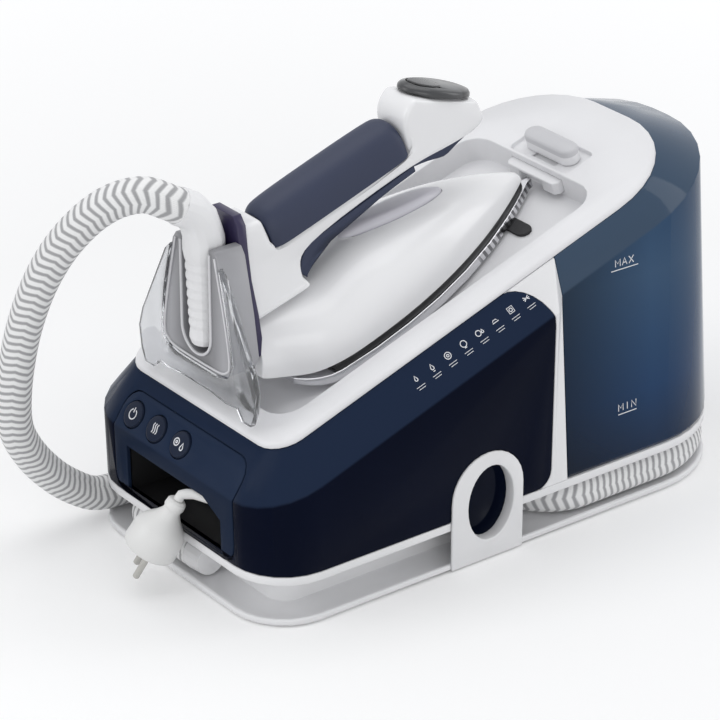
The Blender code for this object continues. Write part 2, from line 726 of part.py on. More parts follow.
hank_count = round(HANK_TURNS * LOOP_POINTS)
hank_path = [hank_point(HANK_TURNS * i / hank_count) for i in range(hank_count + 1)]
hank_lead = Vector((hank_path[0].x, gland_face + GAP, hank_path[0].z))
hank_path = [hank_lead] + hank_path
hank_path.append(hank_path[-1] + Vector((0.0, -0.010, 0.0)))
print("mains_cord_hank least gap to itself, mm:",
      round(1000 * least_self_gap(hank_path, 2 * CORD_RADIUS, 8), 2))
tube("mains_cord_hank", hank_path, CORD_RADIUS, 1, CORD_WHITE)

# Plug: a turned body with a collar and two pins, hanging over the edge of the bin
PLUG_COLLAR = Vector((FRONT_X - 0.0070, -0.0167, 0.0678))
PLUG_AXIS = Vector((-0.40, 0.28, -0.873)).normalized()
PLUG_PROFILE = [(0.0000, 0.0052), (0.0015, 0.0068), (0.0060, 0.0072), (0.0072, 0.0062), (0.0100, 0.0066),
                (0.0150, 0.0100), (0.0210, 0.0155), (0.0270, 0.0186), (0.0400, 0.0192), (0.0430, 0.0180)]
PIN_SPACING = 0.019
PIN_LENGTH = 0.019
PIN_PLUG_RADIUS = 0.0024
plug = sweep("mains_plug", [PLUG_COLLAR + PLUG_AXIS * s for s, r in PLUG_PROFILE],
             [r for s, r in PLUG_PROFILE], 24, CORD_WHITE)
across = PLUG_AXIS.cross(Vector((0, 0, 1))).normalized()
plug_face = PLUG_COLLAR + PLUG_AXIS * PLUG_PROFILE[-1][0]
for sign in (-1, 1):
    root = plug_face + across * sign * PIN_SPACING / 2
    pin = sweep("pin", [root - PLUG_AXIS * 0.004, root + PLUG_AXIS * (PIN_LENGTH - 0.001),
                        root + PLUG_AXIS * PIN_LENGTH],
                [PIN_PLUG_RADIUS, PIN_PLUG_RADIUS, PIN_PLUG_RADIUS * 0.6], 10)
    boolean(plug, pin, "UNION")

cord_start = hank_path[-1] + Vector((0.0, -GAP, 0.0))
cord_end = PLUG_COLLAR - PLUG_AXIS * GAP
cord_route = [cord_start, cord_start + Vector((0.0, -0.007, 0.0)),
              Vector((FRONT_X + 0.027, -0.0437, 0.0705)), Vector((FRONT_X + 0.018, -0.0472, 0.0705)),
              Vector((FRONT_X + 0.011, -0.0422, 0.0710)), Vector((FRONT_X + 0.006, -0.0322, 0.0716)),
              Vector((FRONT_X + 0.001, -0.0232, 0.0724)),
              cord_end - PLUG_AXIS * 0.004, cord_end]
tube("mains_cord", smooth_path(cord_route, 0.006), CORD_RADIUS, 2, CORD_WHITE)

# Bulkhead: a wall the shape of the body, with laps behind the shell's rounded corners
bulkhead_end = BULKHEAD_X + BULKHEAD_THICKNESS
bulkhead_start = BULKHEAD_X - TOP_CORNER_RADIUS * 1.5
climb_start = BULKHEAD_X + BULKHEAD_THICKNESS / 8


def bulkhead_ring(side, height, drawn_in=0.0):
    """The body's outline, drawn in across the pillar to meet the tank's leaning side."""
    half = WIDTH / 2 - side
    near = [(bulkhead_start, half), (climb_start, half), (bulkhead_end, half - drawn_in)]
    plan = [(x, -y) for x, y in near] + near[::-1]
    return at_height(plan, height)


bulkhead = loft("bulkhead", [bulkhead_ring(SHELL_INSET, SHELL_BOTTOM),
                             bulkhead_ring(SHELL_INSET - 0.001, crease_z, TANK_SIDE_DRAFT),
                             bulkhead_ring(SIDE_TAPER, lambda x: rim_z(x) - GAP / 2)], WHITE)


def room_ring(side, height):
    plan = station_plan(side + SHELL_WALL, x0=bulkhead_start - 0.01, x1=BULKHEAD_X)
    return at_height(plan, height)


room = loft("room", [room_ring(SHELL_INSET, SHELL_BOTTOM - 0.01), room_ring(SHELL_INSET - 0.001, crease_z),
                     room_ring(SIDE_TAPER, lambda x: rim_z(x) + 0.001)])
boolean(bulkhead, prism("panel", panel_outline_xz(GAP * 0.8), -WIDTH, WIDTH, "y"))
boolean(bulkhead, room)
boolean(bulkhead, deck_solid("cutter", GAP, DECK_DEPTH + GAP, 0.03, deck_frame))
boolean(bulkhead, cylinder("hole", (BULKHEAD_X - 0.01, SPIGOT_Y, SPIGOT_HEIGHT),
                           (bulkhead_end + 0.01, SPIGOT_Y, SPIGOT_HEIGHT), SPIGOT_RADIUS + GAP))

# Top deck with the sunken tray, the lock's recess and its tunnel
top_deck = deck_solid("top_deck", 0.0, DECK_DEPTH, DECK_RISE, deck_frame, WHITE)
tray_outline = rounded_box_outline(TRAY_START, TRAY_END, -TRAY_HALF_WIDTH, TRAY_HALF_WIDTH, TRAY_RADIUS, 6)
boolean(top_deck, prism("tray", tray_outline, TRAY_FLOOR, 0.03, parent=deck_frame))
recess_start = LOCK_CENTRE - LOCK_HALF_LENGTH - LOCK_STROKE - 0.001
recess_end = LOCK_CENTRE + LOCK_HALF_LENGTH + 0.004
recess_floor = DECK_RISE - LOCK_RECESS_DEPTH
recess_outline = rounded_box_outline(recess_start, recess_end, -LOCK_HALF_SPAN - 0.006,
                                     LOCK_HALF_SPAN + 0.006, 0.004, 3)
boolean(top_deck, prism("recess", recess_outline, recess_floor, 0.03, parent=deck_frame))
tongue_back = LOCK_CENTRE + STEM_HALF_LENGTH
boolean(top_deck, box("tunnel", (TRAY_END - 0.002, -TONGUE_HALF_WIDTH - GAP, TONGUE_BOTTOM - GAP),
                      (tongue_back + GAP, TONGUE_HALF_WIDTH + GAP, TONGUE_TOP + GAP), parent=deck_frame))
boolean(top_deck, box("stem_slot", (LOCK_CENTRE - STEM_HALF_LENGTH - LOCK_STROKE - GAP, -0.012 - GAP,
                                    TONGUE_BOTTOM), (tongue_back + GAP, 0.012 + GAP, 0.03),
                      parent=deck_frame))

pill = (arc(LOCK_CENTRE, -LOCK_HALF_SPAN + LOCK_HALF_LENGTH, LOCK_HALF_LENGTH, 180, 360, 8)
        + arc(LOCK_CENTRE, LOCK_HALF_SPAN - LOCK_HALF_LENGTH, LOCK_HALF_LENGTH, 0, 180, 8))


def pill_ring(inset, height):
    cx = LOCK_CENTRE
    sx = 1 - inset / LOCK_HALF_LENGTH
    sy = 1 - inset / LOCK_HALF_SPAN
    return [(cx + (x - cx) * sx, y * sy, height) for x, y in pill]


pill_bottom = recess_floor + GAP
pill_top = recess_floor + LOCK_HEIGHT
lock_slider = loft("lock_slider", [pill_ring(0.0, pill_bottom), pill_ring(0.0, pill_top - 0.002),
                                   pill_ring(0.0006, pill_top - 0.0008), pill_ring(0.002, pill_top)],
                   WHITE, deck_frame)
boolean(lock_slider, box("stem", (LOCK_CENTRE - STEM_HALF_LENGTH, -0.012, TONGUE_BOTTOM + 0.001),
                         (LOCK_CENTRE + STEM_HALF_LENGTH, 0.012, pill_bottom + 0.001),
                         parent=deck_frame), "UNION")
tongue_front = SOLE_TIP + TONGUE_CLEARANCE
tongue_plan = [(tongue_back, -TONGUE_HALF_WIDTH), (tongue_back, TONGUE_HALF_WIDTH),
               (tongue_front + 0.003, TONGUE_HALF_WIDTH), (tongue_front, TONGUE_HALF_WIDTH - 0.003),
               (tongue_front, -TONGUE_HALF_WIDTH + 0.003), (tongue_front + 0.003, -TONGUE_HALF_WIDTH)]
tongue = prism("tongue", tongue_plan, TONGUE_BOTTOM, TONGUE_TOP, parent=deck_frame)
boolean(tongue, box("notch", (tongue_front - 0.01, -TONGUE_NOTCH, TONGUE_BOTTOM - 0.01),
                    (tongue_front + LOCK_STROKE + 0.004, TONGUE_NOTCH, TONGUE_UNDER), parent=deck_frame))
boolean(lock_slider, tongue, "UNION")

# Heat-proof pads that the soleplate rests on
for name, s, half_span in (("rest_pad_rear", 0.120, 0.040), ("rest_pad_front", 0.289, 0.0325)):
    outline = [(s + x, y) for y, x in stadium(-half_span, half_span, 0.0, 0.006, 6)]
    prism(name, outline, TRAY_FLOOR + GAP, SOLE_HEIGHT - GAP, "z", RUBBER, deck_frame)

# Water tank: shouldered like the body, hollow, with filler hole, grip and valve seat
tank_bottom = SHELL_BOTTOM
water_tank = loft("water_tank", [
    at_height(station_plan(SHELL_INSET + 0.002, rear=SHELL_INSET + 0.002, x0=TANK_X), tank_bottom),
    at_height(station_plan(SHELL_INSET, rear=SHELL_INSET, x0=TANK_X), tank_bottom + 0.003),
    at_height(station_plan(TANK_SIDE_DRAFT, x0=TANK_X, rear_radius=TANK_CREASE_RADIUS), crease_z),
    at_height(station_plan(SIDE_TAPER, rear=REAR_TAPER, x0=TANK_X,
                           rear_radius=DECK_REAR_RADIUS + SIDE_TAPER), rim_z)], BLUE)
boolean(water_tank, deck_solid("cutter", TANK_CLEARANCE, DECK_DEPTH + TANK_CLEARANCE, 0.03, deck_frame))
roof_drop = TANK_ROOF / math.cos(DECK_ANGLE)
cavity_inset = SHELL_INSET + TANK_WALL
cavity_floor = station_plan(cavity_inset, rear=cavity_inset, x0=TANK_X + TANK_WALL)
cavity_roof = station_plan(TANK_SIDE_DRAFT + TANK_WALL, rear=cavity_inset, x0=TANK_X + TANK_WALL,
                           rear_radius=TANK_CREASE_RADIUS)
cavity = loft("cavity", [at_height(cavity_floor, tank_bottom + TANK_WALL),
                         at_height(cavity_roof, lambda x: rim_z(x) - roof_drop)])
grip_z = crease_z(REAR_X) - GRIP_BELOW_CREASE - GRIP_HEIGHT / 2


def grip_recess(grow):
    half = GRIP_HEIGHT / 2
    outline = (arc(-GRIP_HALF_WIDTH + half, grip_z, half + grow, 90, 270, 6)
               + arc(GRIP_HALF_WIDTH - half, grip_z, half + grow, 270, 450, 6))
    return prism("grip", outline, REAR_X - GRIP_DEPTH - grow, REAR_X + 0.01, "x")


boolean(cavity, grip_recess(TANK_WALL))
boolean(water_tank, cavity)
boolean(water_tank, grip_recess(0.0))
filler_x = TANK_X + FILLER_OFFSET
boolean(water_tank, cylinder("filler", (filler_x, 0, rim_z(filler_x) - roof_drop - 0.01),
                             (filler_x, 0, rim_z(filler_x)), FILLER_RADIUS))
boolean(water_tank, cylinder("valve_hole", (TANK_X - 0.01, SPIGOT_Y, SPIGOT_HEIGHT),
                             (TANK_X + TANK_WALL + 0.01, SPIGOT_Y, SPIGOT_HEIGHT), VALVE_RADIUS))

cap_low = rim_z(filler_x) - roof_drop
roof_top = rim_z(filler_x) - (DECK_DEPTH + TANK_CLEARANCE) / math.cos(DECK_ANGLE)
cap_high = roof_top - FILLER_RADIUS * SLOPE - 0.001
sweep("filler_cap", [Vector((filler_x, 0, z)) for z in (cap_low, cap_high)],
      [FILLER_RADIUS - GAP, FILLER_RADIUS - GAP], 24, BLACK)

valve = sweep("tank_valve", [Vector((TANK_X + d, SPIGOT_Y, SPIGOT_HEIGHT)) for d in (0.0, 0.016)],
              [VALVE_RADIUS - GAP, VALVE_RADIUS - GAP], 20, WHITE)
spigot_end = TANK_X + 0.010
boolean(valve, cylinder("bore", (TANK_X - 0.01, SPIGOT_Y, SPIGOT_HEIGHT),
                        (spigot_end + 0.002, SPIGOT_Y, SPIGOT_HEIGHT), SPIGOT_RADIUS + GAP, sides=20))
spigot_flange = BULKHEAD_X - GAP
sweep("tank_spigot", [Vector((x, SPIGOT_Y, SPIGOT_HEIGHT)) for x in
                      (spigot_flange - 0.012, spigot_flange - 0.003, spigot_flange - 0.003, spigot_flange,
                       spigot_flange, spigot_end)],
      [0.004, 0.004, SPIGOT_RADIUS + 0.004, SPIGOT_RADIUS + 0.004, SPIGOT_RADIUS - GAP, SPIGOT_RADIUS - GAP],
      20, BLACK)

# Boiler room: boiler on its cradles, solenoid valve, pump, board and pipes
boiler_x = FRONT_X + BOILER_CENTRE[0]
boiler_y = BOILER_CENTRE[1]
boiler_z = SHELL_BOTTOM + CRADLE_HEIGHT + BOILER_RADIUS
half = BOILER_LENGTH / 2
dome = 0.012
boiler_rings = [(-half, 0.012), (-half + 0.003, BOILER_RADIUS - 0.012), (-half + dome, BOILER_RADIUS),
                (half - dome, BOILER_RADIUS), (half - 0.003, BOILER_RADIUS - 0.012), (half, 0.012)]
boiler = sweep("boiler", [Vector((boiler_x + d, boiler_y, boiler_z)) for d, r in boiler_rings],
               [r for d, r in boiler_rings], 28, STEEL)
cradle_half = CRADLE_SPACING / 2
cradle = box("boiler_cradle", (boiler_x - cradle_half, boiler_y - BOILER_RADIUS * 0.7, SHELL_BOTTOM),
             (boiler_x + cradle_half, boiler_y + BOILER_RADIUS * 0.7, SHELL_BOTTOM + 0.003), ALLOY)
for sign in (-1, 1):
    cx = boiler_x + sign * cradle_half
    saddle = box("saddle", (cx - CRADLE_WIDTH / 2, boiler_y - BOILER_RADIUS * 0.8, SHELL_BOTTOM),
                 (cx + CRADLE_WIDTH / 2, boiler_y + BOILER_RADIUS * 0.8, boiler_z - BOILER_RADIUS * 0.5))
    boolean(cradle, saddle, "UNION")
boolean(cradle, cylinder("bed", (boiler_x - 0.06, boiler_y, boiler_z), (boiler_x + 0.06, boiler_y, boiler_z),
                         BOILER_RADIUS + GAP, sides=28))

valve_base = boiler_z + BOILER_RADIUS + GAP
valve_x = boiler_x + 0.034
solenoid = cylinder("solenoid_valve", (valve_x, boiler_y, valve_base),
                    (valve_x, boiler_y, valve_base + 0.010), 0.008, BRASS, sides=16)
boolean(solenoid, box("coil", (valve_x - 0.011, boiler_y - 0.012, valve_base + 0.008),
                      (valve_x + 0.011, boiler_y + 0.012, valve_base + 0.030)), "UNION")

pump_x = FRONT_X + PUMP_OFFSET
pump_y = pocket_start + POCKET_DEPTH + PUMP_CLEARANCE + PUMP_RADIUS
pump_z = SHELL_BOTTOM + 0.004 + PUMP_RADIUS
pump_half = PUMP_LENGTH / 2
pump_rings = [(-pump_half, 0.005), (-pump_half + 0.015, 0.005), (-pump_half + 0.015, 0.013),
              (-pump_half + 0.025, PUMP_RADIUS), (pump_half - 0.015, PUMP_RADIUS), (pump_half - 0.015, 0.006),
              (pump_half, 0.006)]
pump = sweep("pump", [Vector((pump_x + d, pump_y, pump_z)) for d, r in pump_rings],
             [r for d, r in pump_rings], 20, BLACK)
boolean(pump, box("saddle", (pump_x - 0.010, pump_y - 0.014, SHELL_BOTTOM),
                  (pump_x + 0.018, pump_y + 0.014, pump_z - PUMP_RADIUS * 0.6)), "UNION")

board_x = BULKHEAD_X - 0.006
board_low = SHELL_BOTTOM + BOARD_ABOVE_FLOOR
board_high = board_low + BOARD_HEIGHT
board_far = BOARD_NEAR + BOARD_WIDTH
control_board = box("control_board", (board_x - BOARD_THICKNESS, BOARD_NEAR, board_low),
                    (board_x, board_far, board_high), GREEN)
board_corners = [(y, z) for y in (BOARD_NEAR + BOARD_MARGIN, board_far - BOARD_MARGIN)
                 for z in (board_low + BOARD_MARGIN, board_high - BOARD_MARGIN)]
for y, z in board_corners:
    standoff = cylinder("standoff", (board_x - BOARD_THICKNESS / 2, y, z), (BULKHEAD_X - GAP, y, z), 0.003,
                        sides=10)
    boolean(control_board, standoff, "UNION")

feed_path = [(spigot_flange - 0.012 - GAP, SPIGOT_Y, SPIGOT_HEIGHT),
             (BULKHEAD_X - 0.020, SPIGOT_Y, SPIGOT_HEIGHT),
             (BULKHEAD_X - 0.027, SPIGOT_Y - 0.004, SPIGOT_HEIGHT - 0.001),
             (pump_x + pump_half + 0.004, pump_y, pump_z), (pump_x + pump_half + GAP, pump_y, pump_z)]
tube("feed_tube", smooth_path(feed_path, 0.006), 0.0035, 2, GREY)
press_x = boiler_x - half
press_path = [(pump_x - pump_half - GAP, pump_y, pump_z), (pump_x - pump_half - 0.004, pump_y, pump_z),
              (press_x - 0.009, pump_y + 0.009, pump_z + 0.004),
              (press_x - 0.012, pump_y + 0.030, pump_z + 0.012),
              (press_x - 0.012, boiler_y - 0.024, boiler_z - 0.008),
              (press_x - 0.010, boiler_y - 0.006, boiler_z - 0.001),
              (press_x - 0.004, boiler_y, boiler_z), (press_x - GAP, boiler_y, boiler_z)]
tube("pressure_tube", smooth_path(press_path, 0.006), 0.003, 2, STEEL)

# Steam hose: outlet gland in the front groove, stowed double in the base, then the free arc
OUTLET_Y = -0.0075
outlet = sweep("hose_outlet", [Vector((FRONT_LANE, OUTLET_Y - d, LANE_HEIGHT)) for d in (0.0, 0.004, 0.016)],
               [HOSE_RADIUS, HOSE_RADIUS, HOSE_RADIUS - 0.001], 20, WHITE)
boolean(outlet, box("lug", (FRONT_LANE, OUTLET_Y - 0.016, LANE_HEIGHT - 0.006),
                    (FRONT_LANE + LANE_HALF - GAP, OUTLET_Y - 0.003, LANE_HEIGHT + 0.006)), "UNION")


def turn_points(cx, cy, radius, start, end, steps):
    return [Vector((x, y, LANE_HEIGHT)) for x, y in arc(cx, cy, radius, start, end, steps)]


corner_radius = 0.030
rear_lane = REAR_RADIUS - LANE_INSET
stow_path = [Vector((FRONT_LANE, OUTLET_Y + GAP, LANE_HEIGHT)),
             Vector((FRONT_LANE, OUTLET_Y + 0.016, LANE_HEIGHT))]
stow_path += turn_points(FRONT_LANE + corner_radius, INNER_LANE - corner_radius, corner_radius, 180, 90, 4)
run = BEND_X - FRONT_LANE - corner_radius
stow_path += [Vector((FRONT_LANE + corner_radius + run * k / 5, INNER_LANE, LANE_HEIGHT))
              for k in range(1, 5)]
stow_path += turn_points(BEND_X, bend_y, bend_radius, 90, -90, 8)
stow_path += turn_points(BIGHT_X, bight_y, bight_radius, 90, 270, 8)
rear_x = REAR_X - REAR_RADIUS
stow_path += [Vector(((BIGHT_X + rear_x) / 2, -OUTER_LANE, LANE_HEIGHT))]
stow_path += turn_points(rear_x, -WIDTH / 2 + REAR_RADIUS, rear_lane, 270, 360, 6)
stow_path += turn_points(rear_x, WIDTH / 2 - REAR_RADIUS, rear_lane, 0, 90, 6)
HOSE_LEAVES = FRONT_X + 0.060
run = rear_x - HOSE_LEAVES
stow_path += [Vector((rear_x - run * k / 6, OUTER_LANE, LANE_HEIGHT)) for k in range(1, 7)]
tube("steam_hose_stowed", stow_path, HOSE_RADIUS, 2, TEXTILE)

ARC_POINTS = [(0.036, 0.0983, 0.0176), (0.020, 0.0986, 0.0184), (0.004, 0.0995, 0.0194),
              (-0.0093, 0.1004, 0.0252),
              (-0.0304, 0.0998, 0.0425), (-0.0506, 0.0976, 0.0670), (-0.0655, 0.0922, 0.0956),
              (-0.0699, 0.0846, 0.1298), (-0.0684, 0.0765, 0.1657), (-0.0648, 0.0684, 0.1935),
              (-0.0593, 0.0602, 0.2172), (-0.0514, 0.0510, 0.2388), (-0.0420, 0.0412, 0.2563),
              (-0.0316, 0.0315, 0.2698), (-0.0204, 0.0212, 0.2788), (-0.0081, 0.0103, 0.2822)]
bpy.context.view_layer.update()
boot_path = [Vector((BOOT_OFFSET, 0.0, z)) for z in (0.021, 0.026)]
boot_radii = [0.0095, 0.0112]
rib_count = 8
for k in range(rib_count):
    z = 0.033 + k * 0.0068
    grow = 0.0115 + 0.0022 * k / rib_count
    boot_path += [Vector((BOOT_OFFSET, 0.0, z)), Vector((BOOT_OFFSET, 0.0, z + 0.0034))]
    boot_radii += [grow - 0.0012, grow]
boot_path += [Vector((BOOT_OFFSET, 0.0, 0.090)), Vector((BOOT_OFFSET, 0.0, 0.097)),
              Vector((BOOT_OFFSET - 0.001, 0.0, 0.102)), Vector((BOOT_OFFSET - 0.004, 0.0, 0.1115)),
              Vector((BOOT_OFFSET - 0.0105, 0.0002, 0.1195)), Vector((BOOT_OFFSET - 0.0190, 0.0010, 0.1245))]
boot_radii += [BOOT_RADIUS, BOOT_RADIUS, 0.0138, 0.0136, 0.0134, 0.0132]
sweep("hose_boot", boot_path, boot_radii, 16, WHITE, heel_frame)
boot_end = heel_frame.matrix_world @ boot_path[-1]
boot_way = (heel_frame.matrix_world.to_3x3() @ (boot_path[-1] - boot_path[-2])).normalized()
arc_start = Vector((HOSE_LEAVES - GAP, OUTER_LANE, LANE_HEIGHT))
arc_route = ([arc_start, arc_start + Vector((-0.010, 0.0, 0.0))]
             + [Vector((FRONT_X + x, y, z)) for x, y, z in ARC_POINTS]
             + [boot_end + boot_way * 0.008, boot_end + boot_way * GAP])
tube("steam_hose_arc", smooth_path(arc_route, 0.024), HOSE_RADIUS, 3, TEXTILE)

# Iron: soleplate outline and its turned-up rear edge
def sole_half_width(u):
    if u < SOLE_WIDEST:
        back = (SOLE_WIDEST - u) / SOLE_WIDEST
        return SOLE_HALF_WIDTH - 0.016 * back ** 3
    ahead = min((u - SOLE_WIDEST) / (SOLE_LENGTH - SOLE_WIDEST), 1.0)
    return max(SOLE_HALF_WIDTH * (1 - ahead ** 2.2), 0.0015)


def sole_rise(u):
    return SOLE_TURN_UP * max(0.0, (SOLE_TURN_LENGTH - u) / SOLE_TURN_LENGTH) ** 2


SOLE_STATIONS = (0.0, 0.004, 0.009, 0.015, 0.022, 0.030, 0.060, 0.090, 0.120, 0.150, 0.180, 0.205, 0.222,
                 0.235, 0.242, 0.246)
chamfer = 0.0012
sole_rings = []
for share in SOLE_STATIONS:
    u = share * SOLE_LENGTH / SOLE_STATIONS[-1]
    b = sole_half_width(u)
    low = sole_rise(u)
    top = SOLE_THICKNESS + low * 0.8
    cut = min(chamfer, b * 0.6)
    sole_rings.append([(u, -b + cut, low), (u, b - cut, low), (u, b, low + cut), (u, b, top), (u, -b, top),
                       (u, -b, low + cut)])
loft("soleplate", sole_rings, STEEL, iron_frame)


def sole_outline(inset, start, end, count=14):
    """The soleplate's plan between two places, drawn in all round."""
    near = []
    for i in range(count + 1):
        u = start + (end - start) * i / count
        near.append((u, max(sole_half_width(u) - inset, 0.0012)))
    return [(u, -b) for u, b in near] + [(u, b) for u, b in reversed(near)]


shield_low = SOLE_THICKNESS + GAP
shield_high = shield_low + SHIELD_HEIGHT
shield_end = NOSE_END - 0.001
heat_shield = prism("heat_shield", sole_outline(SHIELD_INSET, SHIELD_START, shield_end),
                    shield_low, shield_high, "z", BLACK, iron_frame)
hollow_end = SOLE_LENGTH - SHIELD_NOSE
boolean(heat_shield, prism("inside", sole_outline(SHIELD_INSET + SHIELD_BAND, SHIELD_START + SHIELD_BAND,
                                                  hollow_end), 0.0, 0.05, parent=iron_frame))
casting_high = SOLE_THICKNESS + CASTING_HEIGHT
casting_inset = SHIELD_BAND + CASTING_CLEARANCE
prism("heater_casting", sole_outline(SHIELD_INSET + casting_inset, SHIELD_START + casting_inset,
                                     hollow_end - 5 * CASTING_CLEARANCE),
      SOLE_THICKNESS + GAP, casting_high, "z", ALLOY, iron_frame)

# Iron cover: arched sections from the heel to the nose, hollow underneath
cover_low = shield_high + GAP
COVER_CREST = ((-0.040, 0.066), (0.000, 0.060), (0.045, 0.055), (0.065, 0.0575), (0.085, 0.0625),
               (0.120, 0.0580), (0.175, 0.0460), (0.210, 0.0330), (0.230, 0.0225), (NOSE_END, 0.0185))


def crest_height(u):
    for (a, ha), (b, hb) in zip(COVER_CREST, COVER_CREST[1:]):
        if u <= b:
            return ha + (hb - ha) * max(0.0, (u - a) / (b - a))
    return COVER_CREST[-1][1]


def cover_section(u, inset):
    """An arch across the iron: half width, floor and crest change along its length."""
    if u >= 0:
        b = sole_half_width(u) - 0.001
    else:
        b = sole_half_width(0.0) - 0.001 - 0.010 * (-u / 0.040) ** 1.5
    floor = cover_low + 0.023 * (max(0.0, 0.012 - u) / 0.046) ** 1.4
    b = max(b - inset, 0.0015)
    height = max(crest_height(u) - inset - floor, 0.004)
    if inset:
        height += 0.002
        floor -= 0.002
    ring = []
    for k in range(15):
        a = math.pi * k / 14
        c, s = math.cos(a), math.sin(a)
        ring.append((u, b * math.copysign(abs(c) ** 0.75, c), floor + height * s ** 0.8))
    return ring


COVER_STATIONS = (-0.040, -0.028, -0.014, 0.0, 0.012, 0.030, 0.045, 0.060, 0.085, 0.110, 0.140, 0.170, 0.195,
                  0.213, 0.226, 0.233, NOSE_END)
iron_cover = loft("iron_cover", [cover_section(u, 0.0) for u in COVER_STATIONS], WHITE, iron_frame)
CAVITY_STATIONS = (0.018, 0.045, 0.085, 0.140, 0.180, 0.212)
boolean(iron_cover, loft("hollow", [cover_section(u, COVER_WALL) for u in CAVITY_STATIONS],
                         parent=iron_frame))


def heel_cut():
    return box("heel", (-0.2, -0.2, -0.2), (TRIM_THICKNESS + GAP, 0.2, 0.3), parent=heel_frame)


boolean(iron_cover, heel_cut())

# Oval inlay let into the crest of the cover
inlay_frame = frame("inlay_frame", (0.130, 0.0, 0.0535), math.radians(11.5), iron_frame)


def oval_dome(name, grow, finish=None):
    rings = []
    for k in range(1, 8):
        a = math.pi * k / 8
        flat = math.sin(a)
        z = -(0.0085 + grow) * math.cos(a)
        rings.append([(x, y, z) for x, y in ellipse(0, 0, (0.0455 + grow) * flat ** 0.6,
                                                    (0.0115 + grow) * flat ** 0.6, 24)])
    return loft(name, rings, finish, inlay_frame)


boolean(iron_cover, oval_dome("cutter", GAP))
oval_dome("top_inlay", 0.0, LILAC)

# Handle shell: rear column, bar and free head as one side profile, wider at the foot
HANDLE_PROFILE = [(0.046, 0.0585, 0.026), (0.042, 0.066, 0.0215), (0.045, 0.076, 0.0175),
                  (0.055, 0.0845, 0.0165), (0.1515, 0.0870, 0.0165), (0.170, 0.0835, 0.0165),
                  (0.207, 0.0790, 0.0160), (0.217, 0.0850, 0.0150), (*HEAD_FRONT, 0.0165),
                  (*HEAD_REAR, 0.0175), (0.1555, 0.1280, 0.0175), (0.1500, 0.1180, 0.0170),
                  (0.1500, 0.0970, 0.0165), (0.036, 0.0970, 0.0170), (0.0295, 0.104, 0.0175),
                  (0.0285, 0.1240, 0.0170), (0.010, 0.1260, 0.0165), (-0.005, 0.1000, 0.0185),
                  (-0.028, 0.0640, 0.0280)]


def crest_seat(u):
    return crest_height(u) + GAP


sides = []
for sign in (-1, 1):
    sides.append([(u, sign * b, w) for u, w, b in HANDLE_PROFILE])
handle_shell = loft("handle_shell", sides, WHITE, iron_frame)
bevel = handle_shell.modifiers.new("rounding", "BEVEL")
bevel.width = 0.0045
bevel.segments = 2
bevel.limit_method = "ANGLE"
bevel.angle_limit = math.radians(50)
boolean(handle_shell, heel_cut())
boolean(handle_shell, loft("seat", [[(x, y * 1.02, z + (2 * GAP if z > cover_low + 0.004 else 0.0))
                                     for x, y, z in cover_section(u, 0.0)] for u in COVER_STATIONS[:10]],
                           parent=iron_frame))
slot_low = (0.1520, -TRIGGER_HALF_WIDTH - 0.0006, 0.05)
slot_high = (0.2075, TRIGGER_HALF_WIDTH + 0.0006, 0.0975)
boolean(handle_shell, box("slot", slot_low, slot_high, parent=iron_frame))

# Soft grips above and below the bar
def grip_solid(name, grow, finish=None):
    """The upper grip: a flat-bottomed arch, drawn in at both ends."""
    rings = []
    for place, share in ((0.0, 0.80), (0.034, 0.93), (0.10, 1.0), (0.5, 1.0), (0.90, 1.0), (0.966, 0.94),
                         (1.0, 0.82)):
        u = GRIP_START - grow + (GRIP_END - GRIP_START + 2 * grow) * place
        side = GRIP_SIDE * share + grow
        rise = (GRIP_TOP - GRIP_FLOOR) * share + 2 * grow
        ring = []
        for k in range(11):
            a = math.pi * k / 10
            c, s = math.cos(a), math.sin(a)
            ring.append((u, side * math.copysign(abs(c) ** 0.8, c), GRIP_FLOOR - grow + rise * s ** 0.8))
        rings.append(ring)
    return loft(name, rings, finish, iron_frame)


boolean(handle_shell, grip_solid("cutter", GAP * 1.5))
grip_solid("grip_top", 0.0, NAVY)
UNDER_PROFILE = [(0.0470, 0.0600), (0.0426, 0.0668), (0.0455, 0.0756), (0.0553, 0.0841), (0.1512, 0.0866),
                 (0.1512, 0.0815), (0.058, 0.0790), (0.0502, 0.0722), (0.0480, 0.0655)]
grip_under = prism("grip_under", UNDER_PROFILE, -0.0150, 0.0150, "y", NAVY, iron_frame)
boolean(grip_under, loft("seat", [[(x, y * 1.02, z + (2 * GAP if z > cover_low + 0.004 else 0.0))
                                   for x, y, z in cover_section(u, 0.0)] for u in COVER_STATIONS[3:10]],
                         parent=iron_frame))

# Steam trigger on its pin, with the microswitch above it
TRIGGER_PROFILE = [(0.1535, 0.0880), (0.1625, 0.0895), (0.2045, 0.0835), (0.2060, 0.0790), (0.1900, 0.0765),
                   (0.1820, 0.0735), (0.1760, 0.0745), (0.1660, 0.0790), (0.1535, 0.0815)]
trigger_frame = frame("trigger_frame", (TRIGGER_PIVOT[0], 0.0, TRIGGER_PIVOT[1]), 0.0, iron_frame)
trigger_outline = [(u - TRIGGER_PIVOT[0], w - TRIGGER_PIVOT[1]) for u, w in TRIGGER_PROFILE]
trigger = prism("steam_trigger", trigger_outline, -TRIGGER_HALF_WIDTH, TRIGGER_HALF_WIDTH, "y", NAVY,
                trigger_frame)
boolean(trigger, cylinder("bore", (0, -0.05, 0), (0, 0.05, 0), PIN_RADIUS + GAP, parent=trigger_frame,
                          sides=12))
cylinder("trigger_pin", (0, -TRIGGER_HALF_WIDTH - GAP, 0), (0, TRIGGER_HALF_WIDTH + GAP, 0), PIN_RADIUS,
         STEEL, trigger_frame, 12)
switch_top = slot_high[2] - GAP
box("microswitch", (0.1770, -0.004, switch_top - 0.0055), (0.1900, 0.004, switch_top), BLACK, iron_frame)

